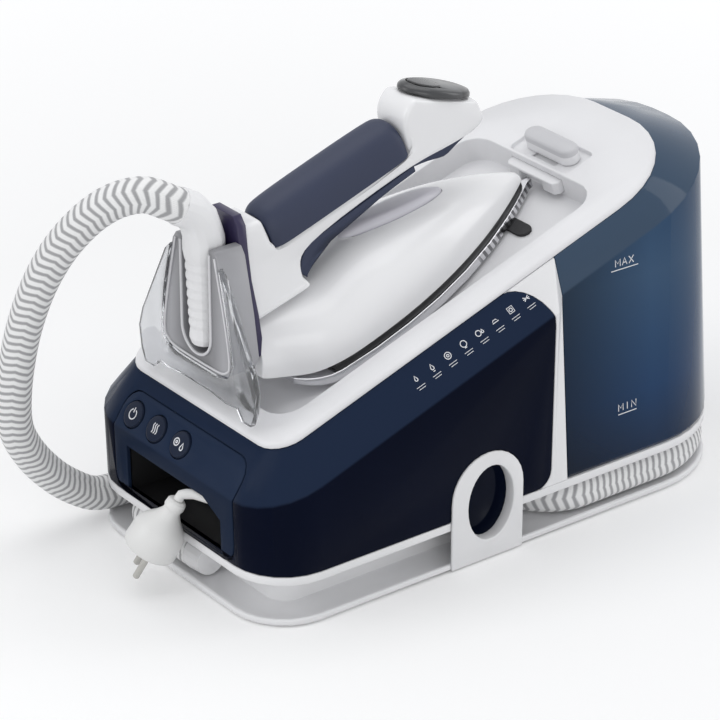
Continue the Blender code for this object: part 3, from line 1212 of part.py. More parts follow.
# Control cap on the head, with the mode button in its recess
cap_angle = math.atan2(HEAD_REAR[1] - HEAD_FRONT[1], HEAD_FRONT[0] - HEAD_REAR[0])
cap_frame = frame("cap_frame", ((HEAD_FRONT[0] + HEAD_REAR[0]) / 2, 0.0, (HEAD_FRONT[1] + HEAD_REAR[1]) / 2),
                  cap_angle, iron_frame)


def cap_ring(scale, height):
    return [(x, y, height) for x, y in ellipse(0, 0, CAP_HALF_LENGTH * scale, CAP_HALF_WIDTH * scale, 32)]


control_cap = loft("control_cap", [cap_ring(0.97, GAP), cap_ring(1.0, 0.0015),
                                   cap_ring(0.99, CAP_THICKNESS * 0.55),
                                   cap_ring(0.93, CAP_THICKNESS * 0.85), cap_ring(0.78, CAP_THICKNESS)],
                   BLACK, cap_frame)
button_x = -0.010
boolean(control_cap, prism("recess", ellipse(button_x, 0, BUTTON_OVAL[0] + BUTTON_CLEARANCE,
                                             BUTTON_OVAL[1] + BUTTON_CLEARANCE, 24),
                           CAP_THICKNESS - 0.0035, 0.03, parent=cap_frame))
mode_low = CAP_THICKNESS - 0.0035 + 0.0014
mode_button = loft("mode_button", [[(x, y, h) for x, y in ellipse(button_x, 0, BUTTON_OVAL[0] - d,
                                                                  BUTTON_OVAL[1] - d, 24)]
                                   for d, h in ((0, mode_low), (0, CAP_THICKNESS + 0.0003),
                                                (0.0008, CAP_THICKNESS + 0.0010))], BLACK, cap_frame)

# Heel: violet trim, grey panel with its boot recess, and the clear stand
def mirrored(half_profile):
    return [(y, z) for y, z in half_profile] + [(-y, z) for y, z in reversed(half_profile)]


trim_outline = mirrored([(0.026, 0.0105), (0.033, 0.0165), (0.0345, 0.030), (0.031, 0.046), (0.0235, 0.068),
                         (0.0195, 0.090), (0.0175, 0.106), (0.012, 0.1125)])
prism("rear_trim", trim_outline, 0.0, TRIM_THICKNESS, "x", VIOLET, heel_frame)


def boot_slot(reach_in):
    half_slot = BOOT_RADIUS + 0.001
    outline = arc(0.0, 0.031, half_slot, 180, 360, 10) + [(half_slot, 0.2), (-half_slot, 0.2)]
    return prism("slot", outline, reach_in - 0.05, reach_in + 0.05, "x", parent=heel_frame)


panel_half = [(0.022, 0.0065), (0.036, 0.010), (0.041, 0.020), (0.036, 0.050), (0.0265, 0.090),
              (0.0225, 0.0955)]
panel_outline = mirrored(panel_half)
heel_panel = prism("heel_panel", panel_outline, -HEEL_DEPTH, -GAP, "x", GREY, heel_frame)
boolean(heel_panel, boot_slot(0.0))
stand_outline = mirrored([(0.016, -0.008), (0.034, -0.010), (0.046, -0.0085), (0.052, -0.016),
                          (0.062, -0.016), (0.0665, -0.006), (0.0685, 0.010), (0.0640, 0.024),
                          (0.034, 0.080), (0.027, 0.0865)])
heel_stand = prism("heel_stand", stand_outline, -HEEL_DEPTH - STAND_PROUD, -HEEL_DEPTH + STAND_LAP, "x",
                   CLEAR, heel_frame)
window = mirrored([(y + GAP if y > 0.03 else y, z + (GAP if z > 0.05 else -GAP)) for y, z in panel_half])
boolean(heel_stand, prism("window", window, -0.1, 0.0, "x", parent=heel_frame))
boolean(heel_stand, boot_slot(0.0))

# Inside the iron: thermostat on the casting, and the steam pipe to it
cylinder("thermostat", (0.090, 0.016, casting_high + GAP), (0.090, 0.016, casting_high + 0.010), 0.010,
         ALLOY, iron_frame, 18)
pipe_path = [(0.0225, -0.012, 0.037), (0.0265, -0.012, 0.037), (0.038, -0.012, 0.0370),
             (0.047, -0.012, 0.0345),
             (0.050, -0.012, casting_high + 0.004), (0.050, -0.012, casting_high + GAP)]
tube("iron_steam_pipe", smooth_path(pipe_path, 0.005), 0.003, 2, STEEL, iron_frame)
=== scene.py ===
"""Steam generator iron: the looks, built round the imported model, in metres, in the model's own frame."""

import json
import math

import bmesh
import bpy
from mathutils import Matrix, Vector
from mathutils.bvhtree import BVHTree

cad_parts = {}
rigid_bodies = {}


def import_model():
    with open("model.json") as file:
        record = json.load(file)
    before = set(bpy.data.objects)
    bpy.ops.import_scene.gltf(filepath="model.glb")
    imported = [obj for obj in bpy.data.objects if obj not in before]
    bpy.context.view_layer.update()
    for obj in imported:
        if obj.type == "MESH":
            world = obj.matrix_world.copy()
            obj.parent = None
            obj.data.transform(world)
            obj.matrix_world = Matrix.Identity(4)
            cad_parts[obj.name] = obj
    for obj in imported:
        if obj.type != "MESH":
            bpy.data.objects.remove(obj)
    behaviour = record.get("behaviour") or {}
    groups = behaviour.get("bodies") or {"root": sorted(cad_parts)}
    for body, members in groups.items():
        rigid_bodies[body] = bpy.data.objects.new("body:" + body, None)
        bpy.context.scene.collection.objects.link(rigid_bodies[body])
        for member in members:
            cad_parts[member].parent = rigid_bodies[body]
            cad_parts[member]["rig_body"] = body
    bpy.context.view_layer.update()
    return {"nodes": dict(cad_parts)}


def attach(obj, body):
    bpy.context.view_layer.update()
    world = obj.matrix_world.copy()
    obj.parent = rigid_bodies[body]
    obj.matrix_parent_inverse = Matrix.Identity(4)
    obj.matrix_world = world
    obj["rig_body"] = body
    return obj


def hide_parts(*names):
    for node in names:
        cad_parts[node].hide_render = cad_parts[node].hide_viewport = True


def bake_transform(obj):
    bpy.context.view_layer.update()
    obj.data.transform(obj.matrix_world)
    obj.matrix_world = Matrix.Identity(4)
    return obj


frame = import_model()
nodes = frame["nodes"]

# Studio
# A pale sweep of paper on a table, with one wide soft lamp overhead and three soft panels round it.
# The camera stands well back with a long lens and looks down at about 26 degrees.
CAMERA_BACK = Vector((-0.541444, -0.714724, 0.442728))
CAMERA_TARGET = Vector((0.085775, 0.188220, 0.0))
CAMERA_DISTANCE = 2.649263

camera = bpy.data.objects.new("camera", bpy.data.cameras.new("camera"))
bpy.context.scene.collection.objects.link(camera)
camera.data.sensor_width = 36.0
camera.data.lens = 171.376
camera.location = CAMERA_TARGET + CAMERA_BACK * CAMERA_DISTANCE
camera.rotation_mode = "QUATERNION"
camera.rotation_quaternion = CAMERA_BACK.to_track_quat("Z", "Y")
camera.data.clip_start = 0.1
camera.data.clip_end = 30.0
bpy.context.scene.camera = camera
bpy.context.scene.view_settings.view_transform = "Standard"


def soft_lamp(name, place, aim, width, height, watts):
    data = bpy.data.lights.new(name, "AREA")
    data.shape = "RECTANGLE"
    data.size = width
    data.size_y = height
    data.energy = watts
    lamp = bpy.data.objects.new(name, data)
    bpy.context.scene.collection.objects.link(lamp)
    lamp.location = place
    lamp.rotation_mode = "QUATERNION"
    lamp.rotation_quaternion = (Vector(place) - Vector(aim)).to_track_quat("Z", "Y")


soft_lamp("lamp_above", (0.05, 0.10, 1.55), (0.0, 0.0, 0.1), 1.5, 1.3, 7.5)
soft_lamp("lamp_left", (-1.30, 0.30, 0.75), (0.0, 0.0, 0.15), 0.8, 0.9, 3.6)
soft_lamp("lamp_front", (-0.75, -1.55, 0.55), (0.0, 0.0, 0.12), 1.2, 0.8, 4.0)
soft_lamp("lamp_right", (1.25, -0.75, 0.85), (0.1, 0.0, 0.15), 0.5, 1.0, 3.0)


def add_node(tree, kind, **settings):
    node = tree.nodes.new(kind)
    for key, value in settings.items():
        setattr(node, key, value)
    return node


def seen_directly(tree):
    """1 for rays from the eye, from gloss and through clear pieces, so that all meet the white sweep."""
    path = add_node(tree, "ShaderNodeLightPath")
    first = add_node(tree, "ShaderNodeMath", operation="MAXIMUM")
    second = add_node(tree, "ShaderNodeMath", operation="MAXIMUM")
    tree.links.new(path.outputs["Is Camera Ray"], first.inputs[0])
    tree.links.new(path.outputs["Is Transmission Ray"], first.inputs[1])
    tree.links.new(first.outputs[0], second.inputs[0])
    tree.links.new(path.outputs["Is Glossy Ray"], second.inputs[1])
    return second.outputs[0]


sky = bpy.data.worlds.new("studio_walls")
sky.use_nodes = True
bpy.context.scene.world = sky
tree = sky.node_tree
wall_light = tree.nodes["Background"]
wall_light.inputs["Color"].default_value = (0.97, 0.98, 1.0, 1.0)
strength = add_node(tree, "ShaderNodeMapRange")
strength.inputs["To Min"].default_value = 0.60
strength.inputs["To Max"].default_value = 1.0
tree.links.new(seen_directly(tree), strength.inputs["Value"])
tree.links.new(strength.outputs["Result"], wall_light.inputs["Strength"])

floor = bpy.data.objects.new("paper_sweep", bpy.data.meshes.new("paper_sweep"))
bpy.context.scene.collection.objects.link(floor)
floor.data.from_pydata([(-6, -6, 0), (6, -6, 0), (6, 6, 0), (-6, 6, 0)], [], [(0, 1, 2, 3)])
paper = bpy.data.materials.new("paper")
paper.use_nodes = True
tree = paper.node_tree
tree.nodes.clear()
matt = add_node(tree, "ShaderNodeBsdfDiffuse")
matt.inputs["Color"].default_value = (0.86, 0.86, 0.86, 1.0)
glow = add_node(tree, "ShaderNodeEmission")
lift = add_node(tree, "ShaderNodeMath", operation="MULTIPLY")
place = add_node(tree, "ShaderNodeTexCoord")
reach = add_node(tree, "ShaderNodeVectorMath", operation="LENGTH")
fade = add_node(tree, "ShaderNodeMapRange")
fade.inputs["From Min"].default_value = 0.5
fade.inputs["From Max"].default_value = 1.8
fade.inputs["To Min"].default_value = 0.15
fade.inputs["To Max"].default_value = 0.52
tree.links.new(place.outputs["Object"], reach.inputs[0])
tree.links.new(reach.outputs["Value"], fade.inputs["Value"])
tree.links.new(fade.outputs["Result"], lift.inputs[1])
both = add_node(tree, "ShaderNodeAddShader")
out = add_node(tree, "ShaderNodeOutputMaterial")
tree.links.new(seen_directly(tree), lift.inputs[0])
tree.links.new(lift.outputs[0], glow.inputs["Strength"])
tree.links.new(matt.outputs[0], both.inputs[0])
tree.links.new(glow.outputs[0], both.inputs[1])
tree.links.new(both.outputs[0], out.inputs["Surface"])
floor.data.materials.append(paper)

# Base: pan, chassis floor, bulkhead, hose ring, deck and lock slider
# Injection-moulded white ABS with a fine spark-eroded grain, screwed together from below.
# The pan carries the hose groove; the chassis floor is the white strip above it.
def moulded(name, colour, roughness, grain=0.04, grain_scale=900.0, drift=0.05, specular=0.5, coat=0.0):
    """A moulded plastic: slow drift of shade and gloss over the surface, and a fine grain in the bump."""
    mat = bpy.data.materials.new(name)
    mat.use_nodes = True
    tree = mat.node_tree
    shader = tree.nodes["Principled BSDF"]
    place = add_node(tree, "ShaderNodeTexCoord")
    slow = add_node(tree, "ShaderNodeTexNoise")
    slow.inputs["Scale"].default_value = 9.0
    slow.inputs["Detail"].default_value = 3.0
    tree.links.new(place.outputs["Object"], slow.inputs["Vector"])
    ramp = add_node(tree, "ShaderNodeValToRGB")
    ramp.color_ramp.elements[0].position = 0.30
    ramp.color_ramp.elements[1].position = 0.70
    ramp.color_ramp.elements[0].color = (*[c * (1 - drift) for c in colour], 1.0)
    ramp.color_ramp.elements[1].color = (*[min(c * (1 + drift), 1.0) for c in colour], 1.0)
    tree.links.new(slow.outputs["Fac"], ramp.inputs["Fac"])
    tree.links.new(ramp.outputs["Color"], shader.inputs["Base Color"])
    gloss = add_node(tree, "ShaderNodeMapRange")
    gloss.inputs["To Min"].default_value = roughness * 0.88
    gloss.inputs["To Max"].default_value = roughness * 1.12
    tree.links.new(slow.outputs["Fac"], gloss.inputs["Value"])
    tree.links.new(gloss.outputs["Result"], shader.inputs["Roughness"])
    fine = add_node(tree, "ShaderNodeTexNoise")
    fine.inputs["Scale"].default_value = grain_scale
    fine.inputs["Detail"].default_value = 2.0
    tree.links.new(place.outputs["Object"], fine.inputs["Vector"])
    bump = add_node(tree, "ShaderNodeBump")
    bump.inputs["Strength"].default_value = grain
    bump.inputs["Distance"].default_value = 0.0004
    tree.links.new(fine.outputs["Fac"], bump.inputs["Height"])
    tree.links.new(bump.outputs["Normal"], shader.inputs["Normal"])
    shader.inputs["Specular IOR Level"].default_value = specular
    shader.inputs["Coat Weight"].default_value = coat
    shader.inputs["Coat Roughness"].default_value = 0.08
    return mat


def dress(material, *names):
    """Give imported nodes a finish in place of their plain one."""
    for name in names:
        slots = nodes[name].data.materials
        slots.clear()
        slots.append(material)


def moulding(node, material, edge=0.0006, rounds=2, levels=0, sharp=38.0):
    """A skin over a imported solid: seams closed, flats whole, sharp edges broken by the mould's radius."""
    bm = bmesh.new()
    bm.from_mesh(nodes[node].data)
    bmesh.ops.remove_doubles(bm, verts=bm.verts, dist=1e-5)
    bmesh.ops.dissolve_limit(bm, angle_limit=math.radians(0.6), verts=bm.verts, edges=bm.edges)
    if levels:
        bmesh.ops.join_triangles(bm, faces=bm.faces, angle_face_threshold=0.3, angle_shape_threshold=1.2)
    mesh = bpy.data.meshes.new(node + "_skin")
    bm.to_mesh(mesh)
    bm.free()
    mesh.shade_smooth()
    mesh.materials.append(material)
    piece = bpy.data.objects.new(node + "_skin", mesh)
    bpy.context.scene.collection.objects.link(piece)
    broken = piece.modifiers.new("broken_edges", "BEVEL")
    broken.width = edge
    broken.segments = rounds
    broken.limit_method = "ANGLE"
    broken.angle_limit = math.radians(sharp)
    broken.use_clamp_overlap = False
    broken.harden_normals = not levels
    if levels:
        rounded = piece.modifiers.new("rounded", "SUBSURF")
        rounded.levels = levels
        rounded.render_levels = levels
    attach(piece, nodes[node]["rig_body"])
    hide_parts(node)
    return piece


def past_plane(tree, origin, way, soft):
    """0 before a plane and 1 past it, in the piece's own coordinates."""
    place = add_node(tree, "ShaderNodeTexCoord")
    shift = add_node(tree, "ShaderNodeVectorMath", operation="SUBTRACT")
    shift.inputs[1].default_value = origin
    along = add_node(tree, "ShaderNodeVectorMath", operation="DOT_PRODUCT")
    along.inputs[1].default_value = way
    step = add_node(tree, "ShaderNodeMapRange", interpolation_type="SMOOTHSTEP")
    step.inputs["From Min"].default_value = -soft
    step.inputs["From Max"].default_value = soft
    tree.links.new(place.outputs["Object"], shift.inputs[0])
    tree.links.new(shift.outputs["Vector"], along.inputs[0])
    tree.links.new(along.outputs["Value"], step.inputs["Value"])
    return step.outputs["Result"]


def second_tone(material, where, colour):
    """Lay another colour over a finish where a factor is 1."""
    tree = material.node_tree
    base = tree.nodes["Principled BSDF"].inputs["Base Color"]
    blend = add_node(tree, "ShaderNodeMix", data_type="RGBA")
    tree.links.new(base.links[0].from_socket, blend.inputs["A"])
    blend.inputs["B"].default_value = (*colour, 1.0)
    tree.links.new(where, blend.inputs["Factor"])
    tree.links.new(blend.outputs["Result"], base)
    return material


white_shell = moulded("white_shell", (0.80, 0.80, 0.81), 0.34)
white_satin = moulded("white_satin", (0.77, 0.77, 0.785), 0.42, grain=0.08)
moulding("base_pan", white_shell, 0.0005)
moulding("chassis_floor", white_shell)
moulding("bulkhead", white_shell, 0.0005)
moulding("hose_ring", white_shell, 0.0010, 3)
moulding("top_deck", white_satin, 0.0009, 3)
FRONT_X = -0.216
DECK_TILT = math.radians(18.95)
DECK_AT = Vector((FRONT_X, 0.0, 0.1133))
DECK_ALONG = Vector((math.cos(DECK_TILT), 0.0, math.sin(DECK_TILT)))
DECK_OUT = Vector((-math.sin(DECK_TILT), 0.0, math.cos(DECK_TILT)))
PILL_RISE = 0.0092
pill_face = DECK_AT + DECK_OUT * PILL_RISE
lock_silver = moulded("lock_silver", (0.77, 0.77, 0.785), 0.36, grain=0.08)
second_tone(lock_silver, past_plane(lock_silver.node_tree, pill_face, DECK_OUT, 0.0004), (0.56, 0.56, 0.58))
moulding("lock_slider", lock_silver, 0.0010, 3)

# Feet and rest pads
# Short black rubber feet, pressed into the pan so that the station stands firm.
# The two dark pads are silicone, pushed into the tray, and keep the hot sole off it.
rubber = moulded("black_rubber", (0.022, 0.022, 0.024), 0.72, grain=0.25, grain_scale=600.0, drift=0.15)
dress(rubber, "foot_front_near", "foot_front_far", "foot_rear_near", "foot_rear_far")
dress(rubber, "rest_pad_rear", "rest_pad_front")

# Navy body and front fascia
# High-gloss navy plastic: a shell moulded in one piece with a wide bevel round its top, and a fascia
# that closes its front. The lamp's light on the bevel is painted: a lighter navy is laid on above the
# crease as painted highlight, and the upright wall below stays almost black.
CREASE_HEIGHT = 0.0880
crease_at = (FRONT_X, 0.0, CREASE_HEIGHT)


def navy_with_painted_bevel_light(name, bevel, wall):
    """Glossy navy with a painted highlight: lighter on the bevel above the crease than on the wall below
    it.
    """
    mat = moulded(name, wall, 0.22, grain=0.015, drift=0.12, specular=0.035)
    return second_tone(mat, past_plane(mat.node_tree, crease_at, DECK_OUT, 0.0012), bevel)


# The shell's wall navy is darker than the fascia's: painted shade on the side turned from the lamps, on the
# same plastic.
navy_shell = navy_with_painted_bevel_light("navy_shell", (0.0135, 0.0230, 0.0500), (0.0018, 0.0036, 0.0130))
navy_front = navy_with_painted_bevel_light("navy_front", (0.0175, 0.0290, 0.0600), (0.0115, 0.0200, 0.0430))
navy_dark = moulded("navy_dark", (0.0040, 0.0070, 0.0200), 0.30, drift=0.10, specular=0.10)
moulding("body_shell", navy_shell, 0.0008, 3)
moulding("front_fascia", navy_front, 0.0006, 3)
moulding("hose_pocket", navy_dark, 0.0005)

# Panel buttons and their signs
# Three round keys of satin navy plastic, held behind the fascia and pressed in against their board.
# Their signs are printed on them in white ink.
navy_button = moulded("navy_button", (0.0100, 0.0165, 0.0370), 0.34, grain=0.06, drift=0.10, specular=0.12)
for button in ("power_button", "steam_button", "reset_button"):
    moulding(button, navy_button, 0.0007, 3)

INK_PROUD = 0.00015
INK_STAND_OFF = 0.02
INK_REACH = 0.06


def printed(name, node, centre, across, upward, strokes, width, material):
    """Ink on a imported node: strokes drawn about a centre and laid on the surface below them."""
    across = Vector(across).normalized()
    upward = Vector(upward).normalized()
    outward = across.cross(upward)
    solid = nodes[node].data
    surface = BVHTree.FromPolygons([v.co for v in solid.vertices], [f.vertices for f in solid.polygons])
    points = []
    faces = []
    for stroke in strokes:
        closed = stroke[0] == stroke[-1]
        base = len(points)
        for i, (u, v) in enumerate(stroke):
            before = stroke[i - 1] if i else (stroke[-2] if closed else stroke[0])
            after = stroke[i + 1] if i + 1 < len(stroke) else (stroke[1] if closed else stroke[-1])
            way = Vector((after[0] - before[0], after[1] - before[1])).normalized()
            for half in (-width / 2, width / 2):
                at = centre + across * (u - half * way.y) + upward * (v + half * way.x)
                hit = surface.ray_cast(at + outward * INK_STAND_OFF, -outward, INK_REACH)[0]
                points.append((hit or at) + outward * INK_PROUD)
            if i:
                k = base + 2 * i
                faces.append((k - 2, k, k + 1, k - 1))
    mesh = bpy.data.meshes.new(name)
    mesh.from_pydata(points, [], faces)
    mesh.materials.append(material)
    piece = bpy.data.objects.new(name, mesh)
    bpy.context.scene.collection.objects.link(piece)
    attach(piece, nodes[node]["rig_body"])


def round_stroke(cx, cy, radius, start=0.0, end=360.0, steps=24):
    """A circle, or a part of one."""
    angles = [math.radians(start + (end - start) * i / steps) for i in range(steps + 1)]
    ring = [(cx + radius * math.cos(a), cy + radius * math.sin(a)) for a in angles]
    if abs(end - start) >= 360.0:
        ring[-1] = ring[0]
    return ring


def drop_stroke(cx, cy, size):
    """A water drop: a round belly drawn up to a point."""
    belly = round_stroke(cx, cy - size * 0.25, size * 0.5, 150.0, 390.0, 16)
    return belly + [(cx, cy + size)] + [belly[0]]


ink_white = moulded("ink_white", (0.72, 0.73, 0.76), 0.5, grain=0.02)
PANEL_AT = Vector((-0.209106, 0.0, 0.0985))
PANEL_UP = Vector((0.569501, 0.0, 0.82199))
PLUME = [(0.0007 * math.sin(1.6 * j), -0.0036 + 0.0018 * j) for j in range(5)]
BUTTON_SIGNS = {
    "power_button": (0.0555, [round_stroke(0, 0, 0.0036, 115, 425), [(0, 0.0012), (0, 0.0050)]]),
    "steam_button": (0.0282, [[(u + shift, v) for u, v in PLUME] for shift in (-0.0022, 0.0, 0.0022)]),
    "reset_button": (-0.0006, [round_stroke(-0.0034, 0.0006, 0.0026), round_stroke(-0.0034, 0.0006, 0.0008),
                               drop_stroke(0.0034, -0.0010, 0.0030)]),
}
for button, (y, sign) in BUTTON_SIGNS.items():
    printed(button + "_sign", button, PANEL_AT + Vector((0, y, 0)), (0, -1, 0), PANEL_UP, sign, 0.0009,
            ink_white)

# Care signs
# A row of small signs in white ink on the near bevel of the body, each with two short rules under it.
# They are printed on the moulding before it is fitted.
SIGN_PITCH = 0.0135
SIGN_FIRST = -0.0847
SIGN_ON_BEVEL = 0.65
BODY_SIDE_Y = -0.1128
BEVEL_IN = 0.0220
BEVEL_RISE = 0.0253
bevel_slant = Vector((0.0, BEVEL_IN, BEVEL_RISE))
bevel_up = bevel_slant - DECK_ALONG * bevel_slant.dot(DECK_ALONG)
SIGN_RULES = [[(-0.0036, -0.0058), (0.0036, -0.0058)], [(-0.0028, -0.0076), (0.0028, -0.0076)]]
CARE_SIGNS = [
    [drop_stroke(0, 0, 0.0022)],
    [drop_stroke(0, 0, 0.0024), [(-0.0008, -0.0030), (0.0008, -0.0030)]],
    [round_stroke(0, 0, 0.0024), round_stroke(0, 0, 0.0009)],
    [round_stroke(0, 0.0002, 0.0023), [(-0.0010, -0.0028), (0.0010, -0.0028)]],
    [round_stroke(-0.0010, 0, 0.0020), drop_stroke(0.0024, -0.0002, 0.0016)],
    [[(-0.0026, -0.0008), (0.0026, -0.0008), (0.0010, 0.0010), (-0.0014, 0.0010), (-0.0026, -0.0008)]],
    [[(-0.0022, -0.0022), (0.0022, -0.0022), (0.0022, 0.0022), (-0.0022, 0.0022), (-0.0022, -0.0022)],
     round_stroke(0, 0, 0.0012)],
    [[(-0.0022, -0.0014), (0.0022, 0.0016)], [(-0.0022, 0.0016), (0.0022, -0.0014)],
     [(-0.0026, 0.0), (0.0026, 0.0)]],
]
for i, sign in enumerate(CARE_SIGNS):
    x = SIGN_FIRST + SIGN_PITCH * i
    crease_z = CREASE_HEIGHT + (x - FRONT_X) * math.tan(DECK_TILT)
    place = Vector((x, BODY_SIDE_Y + SIGN_ON_BEVEL * BEVEL_IN, crease_z + SIGN_ON_BEVEL * BEVEL_RISE))
    printed("care_sign_%d" % (i + 1), "body_shell", place, DECK_ALONG, bevel_up, sign, 0.0006,
            ink_white)
    printed("care_rules_%d" % (i + 1), "body_shell", place, DECK_ALONG, bevel_up, SIGN_RULES, 0.0004,
            ink_white)

# Cord bin
# A black moulded box behind the fascia's opening, which holds the folded mains cord.
# The cord's gland is fitted in its side wall.
bin_black = moulded("bin_black", (0.006, 0.006, 0.007), 0.55, grain=0.15, drift=0.15)
dress(bin_black, "cord_bin", "cord_gland")

# Water tank
# Blow-moulded blue see-through polycarbonate, drawn off to the rear, with printed level marks.
# It plugs onto a spigot in the station; its filler cap and its valve are separate mouldings.
REAR_X = 0.216
TANK_FRONT_X = 0.041
TANK_FOOT = 0.040
TANK_TOP = 0.235
# Greys multiplied into the tank's blue from front to rear: painted shade at its front, painted highlight in
# its middle and at its rear end.
PAINTED_LIGHT_ALONG_TANK = ((0.0, 0.315), (0.16, 0.495), (0.45, 0.90), (0.8, 0.72), (1.0, 0.99))
TANK_TONES = ((0.0, (0.006, 0.030, 0.088)), (0.24, (0.014, 0.064, 0.175)), (0.45, (0.030, 0.090, 0.205)),
              (0.68, (0.050, 0.118, 0.230)), (1.0, (0.030, 0.085, 0.185)))


def set_stops(ramp, stops):
    """Put colours on a ramp, from its first end to its last."""
    ends = ramp.color_ramp.elements
    for spot, colour in stops:
        stop = ends.new(spot) if 0 < spot < 1 else ends[-1 if spot else 0]
        stop.color = (*colour, 1.0)


tank_blue = bpy.data.materials.new("tank_blue")
tank_blue.use_nodes = True
tree = tank_blue.node_tree
shader = tree.nodes["Principled BSDF"]
place = add_node(tree, "ShaderNodeTexCoord")
split = add_node(tree, "ShaderNodeSeparateXYZ")
tree.links.new(place.outputs["Object"], split.inputs[0])
across = add_node(tree, "ShaderNodeMapRange")
across.inputs["From Min"].default_value = TANK_FRONT_X
across.inputs["From Max"].default_value = REAR_X
tree.links.new(split.outputs["X"], across.inputs["Value"])
# Painted light along the tank: darker at its front, lighter in its middle and at its rear.
painted_light_along_tank = add_node(tree, "ShaderNodeValToRGB")
set_stops(painted_light_along_tank, [(spot, (grey, grey, grey)) for spot, grey in PAINTED_LIGHT_ALONG_TANK])
tree.links.new(across.outputs["Result"], painted_light_along_tank.inputs["Fac"])
upright = add_node(tree, "ShaderNodeMapRange")
upright.inputs["From Min"].default_value = TANK_FOOT
upright.inputs["From Max"].default_value = TANK_TOP
tree.links.new(split.outputs["Z"], upright.inputs["Value"])
# The tank's blue by height: darkest at its foot, lightest a little below its top.
tank_height_tone = add_node(tree, "ShaderNodeValToRGB")
set_stops(tank_height_tone, TANK_TONES)
tree.links.new(upright.outputs["Result"], tank_height_tone.inputs["Fac"])
tint = add_node(tree, "ShaderNodeMix", data_type="RGBA", blend_type="MULTIPLY")
tint.inputs["Factor"].default_value = 1.0
tree.links.new(tank_height_tone.outputs["Color"], tint.inputs["A"])
tree.links.new(painted_light_along_tank.outputs["Color"], tint.inputs["B"])
tree.links.new(tint.outputs["Result"], shader.inputs["Base Color"])
cloud = add_node(tree, "ShaderNodeTexNoise")
cloud.inputs["Scale"].default_value = 30.0
tree.links.new(place.outputs["Object"], cloud.inputs["Vector"])
haze = add_node(tree, "ShaderNodeMapRange")
haze.inputs["To Min"].default_value = 0.05
haze.inputs["To Max"].default_value = 0.10
tree.links.new(cloud.outputs["Fac"], haze.inputs["Value"])
tree.links.new(haze.outputs["Result"], shader.inputs["Roughness"])
shader.inputs["Specular IOR Level"].default_value = 0.08
shader.inputs["Transmission Weight"].default_value = 0.28
shader.inputs["IOR"].default_value = 1.45
# Painted highlight on the tank's top bevel: a lighter blue laid on above the crease.
second_tone(tank_blue, past_plane(tree, crease_at, DECK_OUT, 0.0012), (0.058, 0.100, 0.165))
moulding("water_tank", tank_blue, 0.0006, 3, 0, 22.0)

LETTERS = {
    "M": [[(0, 0), (0, 1), (0.4, 0.4), (0.8, 1), (0.8, 0)]],
    "A": [[(0, 0), (0.4, 1), (0.8, 0)], [(0.15, 0.35), (0.65, 0.35)]],
    "X": [[(0, 0), (0.8, 1)], [(0, 1), (0.8, 0)]],
    "I": [[(0.4, 0), (0.4, 1)]],
    "N": [[(0, 0), (0, 1), (0.8, 0), (0.8, 1)]],
}
LETTER_HEIGHT = 0.0052
LETTER_PITCH = 1.15
WORD_MIDDLE = 1.55
WORD_DROP = 0.0015
RULE_DROP = 0.0040
LEVELS = (
    ("MAX", Vector((0.0960, -0.1045, 0.1862)), 0.024),
    ("MIN", Vector((0.0960, -0.1045, 0.0770)), 0.017),
)
for word, place, rule in LEVELS:
    strokes = [[(-rule / 2, -RULE_DROP), (rule / 2, -RULE_DROP)]]
    for i, letter in enumerate(word):
        shift = i * LETTER_PITCH - WORD_MIDDLE
        for stroke in LETTERS[letter]:
            spaced = [(u + shift, v) for u, v in stroke]
            strokes.append([(u * LETTER_HEIGHT, v * LETTER_HEIGHT - WORD_DROP) for u, v in spaced])
    printed("level_" + word.lower(), "water_tank", place, (1, 0, 0), (0, 0.12, 1), strokes, 0.0007,
            ink_white)
dress(moulded("cap_black", (0.012, 0.012, 0.014), 0.4), "filler_cap")
dress(white_shell, "tank_valve")
dress(moulded("fitting_black", (0.012, 0.012, 0.014), 0.45), "tank_spigot")

# Boiler room
# The station's hidden works, fixed inside the navy shell: a pressed steel boiler on a cast cradle,
# a brass valve, a pump, two circuit boards, and the tubes that feed and empty the boiler.
def metal(name, colour, roughness, streak=(1.0, 1.0, 1.0), scale=60.0, drift=0.12):
    """Bare metal: brushed or cast, with streaks in its gloss and shade."""
    mat = bpy.data.materials.new(name)
    mat.use_nodes = True
    tree = mat.node_tree
    shader = tree.nodes["Principled BSDF"]
    shader.inputs["Metallic"].default_value = 1.0
    place = add_node(tree, "ShaderNodeTexCoord")
    stretch = add_node(tree, "ShaderNodeMapping")
    stretch.inputs["Scale"].default_value = streak
    noise = add_node(tree, "ShaderNodeTexNoise")
    noise.inputs["Scale"].default_value = scale
    noise.inputs["Detail"].default_value = 4.0
    tree.links.new(place.outputs["Object"], stretch.inputs["Vector"])
    tree.links.new(stretch.outputs["Vector"], noise.inputs["Vector"])
    ramp = add_node(tree, "ShaderNodeValToRGB")
    ramp.color_ramp.elements[0].color = (*[c * (1 - drift) for c in colour], 1.0)
    ramp.color_ramp.elements[1].color = (*[min(c * (1 + drift), 1.0) for c in colour], 1.0)
    tree.links.new(noise.outputs["Fac"], ramp.inputs["Fac"])
    tree.links.new(ramp.outputs["Color"], shader.inputs["Base Color"])
    gloss = add_node(tree, "ShaderNodeMapRange")
    gloss.inputs["To Min"].default_value = roughness * 0.75
    gloss.inputs["To Max"].default_value = roughness * 1.30
    tree.links.new(noise.outputs["Fac"], gloss.inputs["Value"])
    tree.links.new(gloss.outputs["Result"], shader.inputs["Roughness"])
    return mat


